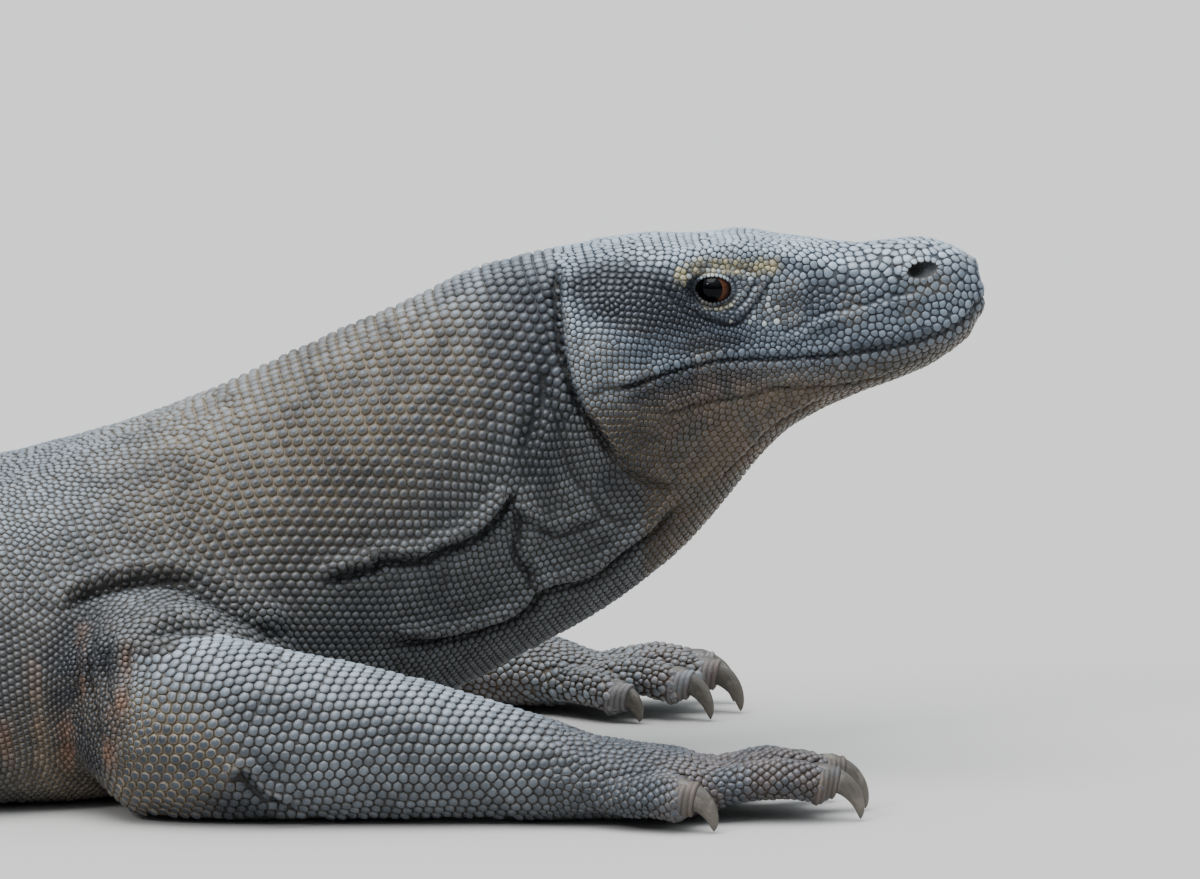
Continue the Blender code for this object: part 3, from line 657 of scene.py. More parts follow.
def crease_push(flat, crease):
    """How far each flat point rises by the crease, which fades out at both ends."""
    push = np.zeros(len(flat))
    near, distance, side, share = beside(flat, crease.route, CREASE_REACH)
    rise = -crease.depth * np.exp(-((distance / crease.width) ** 2))
    if crease.lip:
        lip_side = side * np.sign(crease.lip)
        beyond = (distance * lip_side - crease.spread) / (0.7 * crease.spread)
        rise += abs(crease.lip) * np.exp(-(beyond**2))
    push[near] = rise * smooth(0.0, 0.14, share) * smooth(0.0, 0.14, 1.0 - share)
    return push


def worked(points, triangles):
    """The skin with its lumps, folds and openings, and painted shade by how deep in a groove each
    point is.
    """
    normals = normals_of(points, triangles)
    flat = points[:, (0, 2)]
    gloom = np.zeros(len(points))
    facing = smooth(0.12, 0.50, np.abs(normals[:, 1]))
    push = np.zeros(len(points))
    for side in SIDES:
        mine = points[:, 1] * outward_of(side) > 0.0
        spots = flat[mine] + (LEFT_SHIFT if side == "left" else 0.0)
        for crease in CREASES:
            found = crease_push(spots, crease)
            push[mine] += found * facing[mine]
            # Painted shade where the crease sinks in.
            gloom[mine] = np.maximum(gloom[mine], -found * facing[mine] / 0.0040)
    loose = smooth(0.60, 0.50, points[:, 0]) * smooth(-1.2, -0.3, points[:, 0])
    stretched = points * (1.0, 1.0, 0.45)
    push += loose * 0.0011 * lattice_noise(stretched, 0.034, 3)
    push += loose * 0.0005 * lattice_noise(points, 0.014, 4)
    push += 0.00035 * lattice_noise(points, 0.008, 5) * smooth(0.80, 0.50, points[:, 0])
    face = 1.0 - behind_head(points)
    push += face * 0.0007 * lattice_noise(points, 0.017, 6)
    push += face * head_lumps(points)
    points = points + normals * push[:, None]
    points, gloom = with_mouth(points, normals, gloom)
    for side in SIDES:
        points, gloom = with_nostril(points, gloom, side)
        points, gloom = with_lids(points, gloom, side)
    return points, np.clip(gloom, 0.0, 1.0)


def head_lumps(points):
    """How far the top of the head rises or sinks: brows with a dip before and behind them."""
    push = np.zeros(len(points))
    for x, y, z, reach, rise in HEAD_LUMPS:
        gap = (points * (1.0, 1.0, 1.6) - (x, 0.0, 1.6 * z)) / reach
        gap[:, 1] = (np.abs(points[:, 1]) - y) / reach
        push += rise * np.exp(-(gap**2).sum(axis=1))
    return push


def with_mouth(points, normals, gloom):
    """The lips meet in a narrow groove, with a soft roll above and below it."""
    near, distance, side, share = beside(points[:, (0, 2)], MOUTH, 0.012)
    fade = smooth(0.0, 0.06, share)
    groove = np.exp(-((distance / 0.0011) ** 2)) * fade
    roll = np.exp(-(((distance - 0.0036) / 0.0026) ** 2)) * fade
    push = np.where(side > 0, 0.0011, 0.0006) * roll
    push -= (0.0028 - 0.0015 * smooth(0.45, 0.75, share)) * groove
    points[near] += normals[near] * push[:, None]
    # Painted shade in the groove between the lips.
    gloom[near] = np.maximum(gloom[near], groove)
    return points, gloom


def oval(points, centre, half, tilt):
    """How far each point is from the centre, seen from the side, in half sizes: (in all, along)."""
    dx, dz = points[:, 0] - centre[0], points[:, 2] - centre[1]
    along = (dx * math.cos(tilt) + dz * math.sin(tilt)) / half[0]
    across = (dz * math.cos(tilt) - dx * math.sin(tilt)) / half[1]
    return np.hypot(along, across), along


def with_nostril(points, gloom, side):
    """A hollow, deepest at its rear, with a raised rim."""
    turn = outward_of(side)
    away, along = oval(points, *NOSTRIL)
    near = (points[:, 1] * turn > NOSTRIL_FROM) & (away < 3.0)
    away, rear = away[near], smooth(0.5, -0.9, along[near])
    inward = -(0.0030 + 0.0042 * rear) * np.sqrt(np.clip(1.0 - away**3, 0.0, 1.0))
    rim = (0.0010 + 0.0008 * rear) * np.exp(-(((away - 1.35) / 0.34) ** 2))
    points[near, 1] += turn * (inward + rim)
    # Painted shade inside the nostril, darkest at its rear.
    gloom[near] = np.maximum(gloom[near], (0.30 + 0.70 * rear) * smooth(1.02, 0.75, away))
    return points, gloom


def with_lids(points, gloom, side):
    """The skin drawn over the eyeball as two lids round an almond opening."""
    turn = outward_of(side)
    middle, radius = ball_of(side)
    away, _ = oval(points, *eye_opening(side))
    near = (points[:, 1] * turn > 0.012) & (away < 2.2)
    spots, away = points[near], away[near]
    pull = np.where(np.abs(away - 1.0) < 0.14, 1.0 + (away - 1.0) * 0.3, away)
    pull /= np.maximum(away, 1e-6)
    spots[:, 0] = middle[0] + (spots[:, 0] - middle[0]) * pull
    spots[:, 2] = middle[2] + (spots[:, 2] - middle[2]) * pull
    off = np.hypot(spots[:, 0] - middle[0], spots[:, 2] - middle[2])
    ball = abs(middle[1]) + np.sqrt(np.maximum(radius**2 - off**2, 0.0))
    lid = abs(middle[1]) + np.sqrt(np.maximum((radius + 0.0010) ** 2 - off**2, 0.0035**2))
    outward = spots[:, 1] * turn
    blend = smooth(1.05, 1.9, away)
    outside = lid * (1.0 - blend) + outward * blend
    inside = ball - 0.0040
    outward = inside + (outside - inside) * smooth(0.90, 1.0, away)
    spots[:, 1] = outward * turn
    points[near] = spots
    # Painted shade where the lids meet the eyeball.
    gloom[near] = np.maximum(gloom[near], smooth(1.02, 0.92, away))
    return points, gloom


# ---- where each scale sits ----------------------------------------------------------------------
CROWD = 12  # neighbours looked at round each scale
ROOM_FILLED = 0.955  # how much of the room between its neighbours a scale takes
# Widths of scales: on top of the neck, at the shoulders, at the root of the tail and so on.
NECK_SCALE, SHOULDER_SCALE, TAIL_SCALE, ARMPIT_SCALE = 0.0060, 0.0044, 0.0084, 0.0031
CROWN_SCALE, EYE_SCALE, BROW_SCALE, CHIN_SCALE = 0.0043, 0.0024, 0.0031, 0.0040
EYE_SPOT = (0.634, 0.2535)  # middle of the small scales round the eye
HEAD_SIDE = 0.015  # the sides of the head round the eyes lie this far out, or more
# Patches on the side of the animal: (centre, half sizes, tilt in degrees).
BROW_PATCH = (0.6400, 0.2640), (0.030, 0.0085), 3
ARMPIT_PATCH = (0.3230, 0.0620), (0.030, 0.044), 0
# The scales of the limbs: (width, height as a share of it, how far the rear edge lifts).
LIMB_SCALES = {
    "upper_arm": (0.0047, 0.26, 0.14),
    "forearm": (0.0058, 0.27, 0.17),
    "hand": (0.0043, 0.24, 0.16),
    "thigh": (0.0058, 0.22, 0.10),
    "shank": (0.0056, 0.22, 0.10),
    "foot": (0.0048, 0.21, 0.08),
}
# Each round of filling in: (a spot this far from every scale is bare, least gap between two
# scales as a share of their width, seed, rounds of pushing apart).
FILL_ROUNDS = ((0.0024, 0.74, 11, 6), (0.0021, 0.66, 12, 3))
SNOUT_FROM = 0.655  # no rows run over the snout from here on
LIMB_STEP, LIMB_AROUND = 0.004, 96  # between two sections of an arm, and rays round each


def owners(points):
    """The name's index in HIDE_NODES of the solid nearest to each point."""
    corners, triangles, owner, count = [], [], [], 0
    for index, name in enumerate(HIDE_NODES):
        more, faces = mesh_arrays(frame["nodes"][name].data)
        corners.append(more)
        triangles.append(faces + count)
        owner.append(np.full(len(faces), index))
        count += len(more)
    solids = tree_of(np.concatenate(corners), np.concatenate(triangles))
    owner = np.concatenate(owner)
    found = [solids.find_nearest(Vector(point))[2] for point in points]
    return owner[found]


def trunk_place(tube, points):
    """(length along the trunk, turn from the back towards the right side) of each point."""
    nearest = nearest_of(tube.line, points)
    offset = points - tube.line[nearest]
    lengths = tube.run[nearest] + (offset * tube.ways[nearest]).sum(axis=1)
    side = (offset * tube.sides[nearest]).sum(axis=1)
    up = (offset * tube.ups[nearest]).sum(axis=1)
    return np.clip(lengths, 0.0, tube.run[-1]), np.arctan2(side, up)


def beside_arm(points):
    """The points with those of the left side moved as far along as the right arm lies ahead."""
    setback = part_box("hand_left")[0][0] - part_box("hand_right")[0][0]
    return points - np.outer(np.where(points[:, 1] > 0.0, setback, 0.0), (1.0, 0.0, 0.0))


def patch(points, centre, half, tilt):
    """1 in the middle of an oval patch on the side of the animal, 0 outside it."""
    return smooth(1.25, 0.55, oval(points, centre, half, math.radians(tilt))[0])


def scale_sizes(points, part, lengths, turns):
    """Width of the scales at each point."""
    x, z = points[:, 0], points[:, 2]
    low = np.abs(turns)
    neck = NECK_SCALE - 0.0021 * smooth(1.0, 2.2, low)
    neck -= 0.0010 * smooth(0.44, 0.30, x)
    trunk = SHOULDER_SCALE + 0.0024 * smooth(0.16, -0.04, x) + 0.0014 * smooth(2.0, 2.5, low)
    size = neck + (trunk - neck) * smooth(0.40, 0.26, x)
    tail = TAIL_SCALE - 0.0036 * smooth(1.5, 2.45, lengths)
    size = size + (tail - size) * smooth(1.05, 1.25, lengths)
    crown = CROWN_SCALE - 0.0009 * smooth(0.262, 0.245, z)
    face = crown - 0.0003 * smooth(0.60, 0.64, x) * smooth(0.262, 0.250, z)
    face += 0.0013 * smooth(0.675, 0.705, x)
    from_eye = np.hypot(x - EYE_SPOT[0], z - EYE_SPOT[1])
    beside_eye = smooth(0.017, 0.010, from_eye) * (np.abs(points[:, 1]) > HEAD_SIDE)
    brow = patch(points, *BROW_PATCH)
    chin = smooth(0.205, 0.195, z) * smooth(0.72, 0.69, x)
    for width, share in ((EYE_SCALE, beside_eye), (BROW_SCALE, brow), (CHIN_SCALE, chin)):
        face = face + (width - face) * share
    size = face + (size - face) * behind_head(points)
    for side in SIDES:
        for word, (width, _, _) in LIMB_SCALES.items():
            size = np.where(made_of(part, word, side), width, size)
    armpit = patch(beside_arm(points), *ARMPIT_PATCH)
    return size + (ARMPIT_SCALE - size) * armpit


def row_shares(points):
    """How far apart the rows lie, as a share of a scale's width."""
    x, z = points[..., 0], points[..., 2]
    temple = (1.0 - behind_head(points)) * smooth(0.62, 0.60, x) * smooth(0.215, 0.235, z)
    flank = smooth(0.43, 0.34, x) * smooth(-0.9, -0.5, x) * smooth(0.030, 0.080, z)
    return 0.91 + 0.26 * temple + 0.36 * flank


def rows_over(grid, sizes, shares, reference, anchor, follow=1.0):
    """Points in staggered rows over a grid of sections that close on themselves.

    Where follow is 1 the rows keep their spacing on both flanks of a bend, and where it is 0 they
    stay in the sections.
    """
    count, around = sizes.shape
    steps = np.linalg.norm(np.diff(grid, axis=0), axis=2)
    climb = np.zeros((count, around))
    spacing = sizes * shares
    climb[1:] = np.cumsum(steps * 2.0 / (spacing[1:] + spacing[:-1]), axis=0)
    climb -= climb[reference]
    even = climb.mean(axis=1, keepdims=True)
    climb = even + (climb - even) * follow
    levels = np.arange(math.ceil(climb.min()), math.floor(climb.max()) + 1)
    sections = np.arange(count)
    where = [np.interp(levels, column, sections, left=-1.0, right=-1.0) for column in climb.T]
    where = np.stack(where, axis=1)
    columns = np.arange(around)
    places = []
    for level, row in zip(levels, where):
        inside = row >= 0.0
        base = np.clip(row.astype(int), 0, count - 2)
        share = np.clip(row - base, 0.0, 1.0)
        ring = grid[base, columns] * (1 - share)[:, None] + grid[base + 1, columns] * share[:, None]
        wide = sizes[base, columns]
        ring, inside, wide = (np.concatenate([row, row[:1]]) for row in (ring, inside, wide))
        steps = np.linalg.norm(np.diff(ring, axis=0), axis=1) * 2 / (wide[1:] + wide[:-1])
        run = np.concatenate([[0.0], np.cumsum(steps)])
        total = max(3, int(round(run[-1])))
        start = run[anchor] / run[-1] * total + 0.5 * (level % 2)
        spots = ((np.arange(total) + start) % total) / total * run[-1]
        keep = np.interp(spots, run, inside.astype(float)) > 0.99
        ring = np.stack([np.interp(spots, run, ring[:, axis]) for axis in range(3)], axis=1)
        places.append(ring[keep])
    return np.concatenate(places)


def dropped_on(tree, places, farthest):
    """The places moved to the nearest point of the skin, less those farther off."""
    found = [tree.find_nearest(Vector(place)) for place in places]
    spots = np.array([hit[0] for hit in found])
    faces = np.array([hit[2] for hit in found])
    near = np.array([hit[3] for hit in found]) < farthest
    return spots[near], faces[near]


def neighbours_of(places, count):
    """Indices of each place's nearest others, nearest first."""
    tree = spots_tree(places)
    return np.array([[hit[1] for hit in tree.find_n(place, count + 1)[1:]] for place in places])


def spread_out(places, sizes, pinned, tree, rounds):
    """The places pushed apart until neighbours stand about a scale's width from each other."""
    nearby = neighbours_of(places, 8)
    free = np.where(pinned, 0.0, 0.30)[:, None, None]
    faces = None
    for turn in range(rounds):
        offset = places[:, None, :] - places[nearby]
        apart = np.linalg.norm(offset, axis=2)
        wanted = 1.03 * 0.5 * (sizes[:, None] + sizes[nearby])
        push = np.clip(wanted - apart, 0.0, None) / np.maximum(apart, 1e-6)
        places = places + (offset * push[:, :, None] * free).sum(axis=1)
        if turn % 2 or turn == rounds - 1:
            places, faces = dropped_on(tree, places, 1.0)
    return places, faces


def filled_in(points, triangles, areas, widths, taken, least, seed):
    """More places, at random, wherever a scale's width is free between those already taken."""
    draw = np.random.default_rng(seed)
    crowd = areas / widths**2
    total = int(crowd.sum() * 9.0)
    chosen = draw.choice(len(triangles), size=total, p=crowd / crowd.sum())
    a, b = draw.random((2, total))
    over = a + b > 1.0
    a[over], b[over] = 1.0 - a[over], 1.0 - b[over]
    corners = points[triangles[chosen]]
    spots = corners[:, 0] + (corners[:, 1] - corners[:, 0]) * a[:, None]
    spots += (corners[:, 2] - corners[:, 0]) * b[:, None]
    free = nearest_gap(taken, spots) > least * widths[chosen]
    spots, chosen = spots[free], chosen[free]
    sizes = widths[chosen]
    tree = spots_tree(spots)
    open_spots = np.ones(len(spots), bool)
    kept = []
    for index in range(len(spots)):
        if open_spots[index]:
            kept.append(index)
            for _, other, _ in tree.find_range(spots[index], (least + 0.06) * sizes[index]):
                open_spots[other] = False
    return spots[kept], chosen[kept]


def limb_line(side, parts, reach):
    """A middle line through the limb's solids, from the trunk outwards."""
    points, faces = node_arrays([f"{part}_{side}" for part in parts])
    ends = [box_middle(f"{part}_{side}") for part in parts]
    first = ends[0] + (ends[0] - ends[1]) * 0.45
    last = ends[-1] + (ends[-1] - ends[-2]) * 0.20
    rough = np.array([first, *ends, last])
    return tube_along(middle_line(points, faces, rough, 0.008, reach, 4, 2))


def limb_grid(tube, tree, reach):
    """Sections of the skin round a limb's middle line. A ray with no skin ends at its reach."""
    lengths = np.arange(LIMB_STEP, tube.run[-1], LIMB_STEP)
    middles, _, sides, ups = tube_at(tube, lengths)
    grid = np.empty((len(lengths), LIMB_AROUND, 3))
    for i, middle in enumerate(middles):
        for j, ray in enumerate(circle_of(full_turn(LIMB_AROUND), ups[i], sides[i])):
            hit = tree.ray_cast(Vector(middle), Vector(ray), reach)
            grid[i, j] = hit[0] if hit[0] is not None else middle + ray * reach
    return grid


# ---- scales with a place of their own: lips, lids, nostrils and toes ----------------------------
# Rows along the mouth: (how far above it or, below 0, under it, width of a scale).
LIP_ROWS = ((0.0034, 0.0054), (-0.0032, 0.9 * 0.0054))
# Rows round an opening: (how many of its half sizes away, width of a scale).
LID_ROWS = ((1.19, 0.0019), (1.52, 0.0024))
NOSTRIL_ROW = (1.42, 0.0031)
TOE_ROWS = {"right": (0.0031, 0.0060), "left": (0.0044, 0.0080)}  # apart, and width of a scale
TOE_HALF_TURN = 118  # degrees from the top of a toe that its rows run down each side
TOE_ROUNDNESS = 0.62  # how deep a claw is at its root, as a share of its toe
TOE_SUNK = 0.0028  # how far a toe's middle lies below that of its claw's root


def on_side(tree, flat, side):
    """The outermost points of the skin at those (x, z), on one side of the animal."""
    turn = outward_of(side)
    spots = []
    for x, z in flat:
        hit = tree.ray_cast(Vector((x, turn * 0.2, z)), Vector((0.0, -turn, 0.0)))[0]
        if hit is not None and hit.y * turn > 0.004:
            spots.append(tuple(hit))
    return np.array(spots)


def lip_places(tree, side, above, width):
    """One row of scales along the mouth, that far above it."""
    line = curved(MOUTH)
    run = travelled(line)
    lengths = np.arange(0.10 * run[-1], 0.93 * run[-1], width)
    flat = np.stack([np.interp(lengths, run, line[:, axis]) for axis in range(2)], axis=1)
    ways = unit(np.gradient(flat, axis=0))
    return on_side(tree, flat + np.stack([-ways[:, 1], ways[:, 0]], axis=1) * above, side)


def ring_places(tree, side, centre, half, tilt, row):
    """Scales round an opening, at that many times its half-sizes."""
    share, width = row
    reach = np.array(half) * share
    count = int(round(2 * math.pi * math.hypot(*reach) / math.sqrt(2.0) / width))
    turn = full_turn(count)
    along, across = np.cos(turn) * reach[0], np.sin(turn) * reach[1]
    x = centre[0] + along * math.cos(tilt) - across * math.sin(tilt)
    z = centre[1] + along * math.sin(tilt) + across * math.cos(tilt)
    return on_side(tree, np.stack([x, z], axis=1), side)


Toe = namedtuple("Toe", "part side number base way wide deep tip")


def toe_of(part, side, number):
    """A toe's end, read from its claw's solid: where the claw starts, its way and half sizes."""
    points, _ = mesh_arrays(frame["nodes"][f"{part}_{side}_claw_{number}"].data)
    tip = points[np.argmin(points[:, 2])]
    way = unit((tip - points.mean(axis=0)) * (1.0, 1.0, 0.0))
    along = (points - tip) @ way
    base = points[along < along.min() + 0.0012]
    across = np.cross(UP, way)
    middle = (base.max(axis=0) + base.min(axis=0)) / 2
    wide, deep = np.ptp(base @ across) / 2, np.ptp(base[:, 2]) / 2
    return Toe(part, side, number, middle, way, wide, deep, tip)


def all_toes():
    return [toe_of(part, side, number) for part, side in PAWS for number in TOES]


def toe_places(tree, toe):
    """Rows of broad scales across a toe, from its claw back to its root."""
    apart, width = TOE_ROWS[toe.side]
    across = np.cross(UP, toe.way)
    radius = toe.deep / TOE_ROUNDNESS
    half_turn = math.radians(TOE_HALF_TURN)
    length = 0.042 if toe.number < 5 else 0.026
    spots = []
    for row, back in enumerate(np.arange(0.0034, length, apart)):
        rise = 0.0045 * float(smooth(0.0, 0.6 * length, back)) - TOE_SUNK
        middle = toe.base - toe.way * back + np.array((0.0, 0.0, rise))
        for k in range(int(2.0 * half_turn * radius / width) + 1):
            turn = -half_turn + (k + 0.5 * (row % 2)) * width / radius
            spots.append(middle + (across * math.sin(turn) + (0, 0, math.cos(turn))) * radius)
    return dropped_on(tree, np.array(spots), 0.0045)[0]


# ---- all the scales together --------------------------------------------------------------------
def sizes_at(tube, places):
    lengths, turns = trunk_place(tube, places)
    return scale_sizes(places, owners(places), lengths, turns)


def special_places(tree):
    """(places, widths) of the scales that line the lips, lids, nostrils and toes."""
    found = []
    for side in SIDES:
        for above, width in LIP_ROWS:
            found.append((lip_places(tree, side, above, width), width))
        for row in LID_ROWS:
            found.append((ring_places(tree, side, *eye_opening(side), row), row[1]))
        found.append((ring_places(tree, side, *NOSTRIL, NOSTRIL_ROW), NOSTRIL_ROW[1]))
    for toe in all_toes():
        found.append((toe_places(tree, toe), TOE_ROWS[toe.side][1]))
    places = np.concatenate([spots for spots, _ in found])
    widths = np.concatenate([np.full(len(spots), width) for spots, width in found])
    return places, widths


def open_to(places):
    """False for places in the openings of the eyes and nostrils."""
    clear = np.ones(len(places), bool)
    for side in SIDES:
        outward = places[:, 1] * outward_of(side)
        clear &= (oval(places, *eye_opening(side))[0] > 1.06) | (outward < HEAD_SIDE)
        clear &= (oval(places, *NOSTRIL)[0] > 1.04) | (outward < NOSTRIL_FROM)
    return clear


def all_places(tube, shell, stations, points, triangles, tree):
    """(places, faces of the skin under them, widths) of every scale."""
    grid = mesh_arrays(shell)[0][:-2].reshape(len(stations), AROUND, 3)
    flat = grid.reshape(-1, 3)
    lengths, turns = trunk_place(tube, flat)
    widths = scale_sizes(flat, np.full(len(flat), -1), lengths, turns).reshape(grid.shape[:2])
    reference = int(np.argmin(np.abs(stations - 0.36)))
    follow = smooth(-0.10, 0.15, grid[:, :, 0].mean(axis=1, keepdims=True))
    rows = rows_over(grid, widths, row_shares(grid), reference, AROUND // 4, follow)
    places = [dropped_on(tree, rows, 0.0085)[0]]
    for side in SIDES:
        arm = limb_line(side, ("forearm", "hand"), 0.09)
        grid = limb_grid(arm, tree, 0.062)
        even = np.full(grid.shape[:2], LIMB_SCALES["forearm"][0])
        rows = rows_over(grid, even, np.full(even.shape, 0.90), 0, even.shape[1] // 4)
        rows = dropped_on(tree, rows, 0.0005)[0]
        places.append(rows[made_of(owners(rows), "forearm", side)])
    places = np.concatenate(places)
    places = places[places[:, 0] <= SNOUT_FROM]
    special, special_widths = special_places(tree)
    widths = sizes_at(tube, places)
    clear = nearest_gap(special, places) > 0.42 * (widths + np.median(special_widths))
    places = np.concatenate([special, places[clear]])
    widths = np.concatenate([special_widths, widths[clear]])
    pinned = np.arange(len(places)) < len(special)
    corners = points[triangles]
    middles = corners.mean(axis=1)
    square = np.cross(corners[:, 1] - corners[:, 0], corners[:, 2] - corners[:, 0])
    areas = np.linalg.norm(square, axis=1) / 2
    for farthest, least, seed, rounds in FILL_ROUNDS:
        bare = np.flatnonzero(nearest_gap(places, middles) > farthest)
        wanted = sizes_at(tube, middles[bare])
        spots, chosen = filled_in(points, triangles[bare], areas[bare], wanted, places, least, seed)
        places = np.concatenate([places, spots])
        widths = np.concatenate([widths, wanted[chosen]])
        pinned = np.concatenate([pinned, np.zeros(len(spots), bool)])
        places, faces = spread_out(places, widths, pinned, tree, rounds)
    keep = open_to(places)
    return places[keep], faces[keep], widths[keep]


def lies_of(tube, places, part):
    """The way that the scales point: towards the tail, and down each limb towards the toes."""
    lies = tube.ways[nearest_of(tube.line, places)]
    for side in SIDES:
        for parts in (ARM_NODES, LEG_NODES):
            stops = [box_middle(f"{word}_{side}") for word in parts]
            stops.append(box_middle(f"{parts[-1]}_{side}_claw_3"))
            for word, here, after in zip(parts, stops, stops[1:]):
                lies[made_of(part, word, side)] = unit(after - here)
    return lies


def laid_flat(ways, normals):
    return unit(ways - normals * (ways * normals).sum(axis=1, keepdims=True))


def room_round(places, normals, lies, sizes, spokes):
    """How far each scale can reach along each of its spokes before it meets a neighbour."""
    nearby = neighbours_of(places, CROWD)
    offset = places[nearby] - places[:, None, :]
    across = np.cross(normals, lies)
    u = (offset * lies[:, None, :]).sum(axis=2)
    v = (offset * across[:, None, :]).sum(axis=2)
    lift = np.abs((offset * normals[:, None, :]).sum(axis=2))
    flat = np.hypot(u, v)
    share = sizes[:, None] / (sizes[:, None] + sizes[nearby])
    reach = np.full((len(places), spokes), np.inf)
    for k in range(spokes):
        turn = 2 * math.pi * k / spokes
        towards = u * math.cos(turn) + v * math.sin(turn)
        meets = (towards > 0.1 * flat) & (lift < 0.9 * flat)
        limit = np.where(meets, share * flat**2 / np.maximum(towards, 1e-6), np.inf)
        reach[:, k] = limit.min(axis=1)
    reach = np.minimum(reach, 0.72 * sizes[:, None])
    even = (np.roll(reach, 1, axis=1) + np.roll(reach, -1, axis=1)) / 2
    reach = np.minimum(reach, 0.45 * reach + 0.55 * even + 0.0002)
    return np.maximum(reach * ROOM_FILLED, 0.22 * sizes[:, None])


def rises_of(places, part, turns):
    """(height of the scales as a share of their width, how far their rear edge lifts)."""
    x, behind = places[:, 0], behind_head(places)
    neck = 0.34 - 0.11 * smooth(0.9, 2.0, np.abs(turns))
    trunk = 0.25 - 0.04 * smooth(0.1, -0.1, x)
    rise = neck + (trunk - neck) * smooth(0.40, 0.24, x)
    lean = 0.04 + 0.10 * smooth(0.44, 0.30, x)
    face = 0.245 - 0.045 * smooth(0.655, 0.68, x)
    rise = face + (rise - face) * behind
    lean = 0.07 + (lean - 0.07) * behind
    for side in SIDES:
        for word, (_, height, lift) in LIMB_SCALES.items():
            mine = made_of(part, word, side)
            rise = np.where(mine, height, rise)
            lean = np.where(mine, lift, lean)
    return rise, lean


# ---- markings -----------------------------------------------------------------------------------
# Cream lines beside the eye, as points (x, z): (route, width at full strength, width in all,
# strength).
CREAM_LINES = (
    (((0.6180, 0.2612), (0.6230, 0.2640), (0.6337, 0.2656), (0.6475, 0.2645), (0.6560, 0.2640),
      (0.6650, 0.2648)), 0.0030, 0.0056, 0.95),
    (((0.6270, 0.2470), (0.6337, 0.2443), (0.6424, 0.2455), (0.6475, 0.2489)),
     0.0006, 0.0018, 0.50),
)
# Patches of colour on each side, and of painted shade by the arm: (centre, half sizes, tilt in
# degrees) and sometimes a strength.
# Those by the arm lie farther back on the left, as that arm does.
DARK_PATCHES = (
    ((0.6330, 0.2265), (0.022, 0.0050), 4, 0.80),
    ((0.5970, 0.2500), (0.046, 0.0180), -13, 1.00),
    ((0.6280, 0.2400), (0.026, 0.0080), -6, 0.60),
    ((0.6240, 0.2040), (0.038, 0.0110), 6, 0.80),
    ((0.6860, 0.2480), (0.028, 0.0070), 9, 0.50),
    ((0.7150, 0.2235), (0.042, 0.0045), 12, 0.40),
    ((0.5920, 0.1560), (0.020, 0.0150), -20, 0.55),
    ((0.6220, 0.1850), (0.042, 0.0090), 12, 0.50),
    ((0.5440, 0.1900), (0.012, 0.0560), 6, 0.62),
    ((0.4700, 0.0930), (0.070, 0.0220), 12, 0.45),
)
# Painted shade in the armpit, behind the arm and in the crease of the elbow.
SHADE_BY_ARM = (
    ((0.3160, 0.0600), (0.024, 0.0480), 0, 0.84),
    ((0.2620, 0.0560), (0.048, 0.0460), 0, 0.50),
    ((0.3960, 0.0090), (0.024, 0.0080), -20, 0.60),
)
TAN_NECK = (0.4300, 0.1900), (0.110, 0.065), 20
BROWN_CHEEK = (0.5760, 0.2080), (0.020, 0.028), 10
BROWN_BY_ARM = (0.3360, 0.0360), (0.066, 0.046), 0
DULL_BY_ARM = (0.3620, 0.0260), (0.042, 0.034), 0
RUST_BY_ARM = (
    ((0.3200, 0.0620), (0.044, 0.021), 80, 0.95),
    ((0.2900, 0.0560), (0.030, 0.034), 0, 0.60),
)
PALE_BUTTONS = (
    (0.6629, 0.2491), (0.6598, 0.2442), (0.6654, 0.2440), (0.6623, 0.2416), (0.6547, 0.2388),
    (0.6603, 0.2362), (0.6659, 0.2370), (0.6424, 0.2360), (0.6526, 0.2363),
)


def mouth_height(x):
    line = curved(MOUTH)
    return np.interp(x, line[:, 0], line[:, 1])


def limb_shares(points, part):
    """(share of the forearm's colour, share of a hand's or foot's colour) at each point."""
    arm, hand = np.zeros(len(points)), np.zeros(len(points))
    for side in SIDES:
        wrist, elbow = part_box(f"hand_{side}")[0][0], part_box(f"forearm_{side}")[0][0]
        forearm, own_hand = made_of(part, "forearm", side), made_of(part, "hand", side)
        past = smooth(wrist - 0.030, wrist + 0.040, points[:, 0]) * (forearm | own_hand)
        below_elbow = smooth(elbow + 0.004, elbow + 0.045, points[:, 0]) * forearm
        arm = np.maximum(arm, np.maximum(below_elbow, own_hand) * (1.0 - past))
        hand = np.maximum(hand, past)
        hand[made_of(part, "foot", side)] = 1.0
    return arm, hand


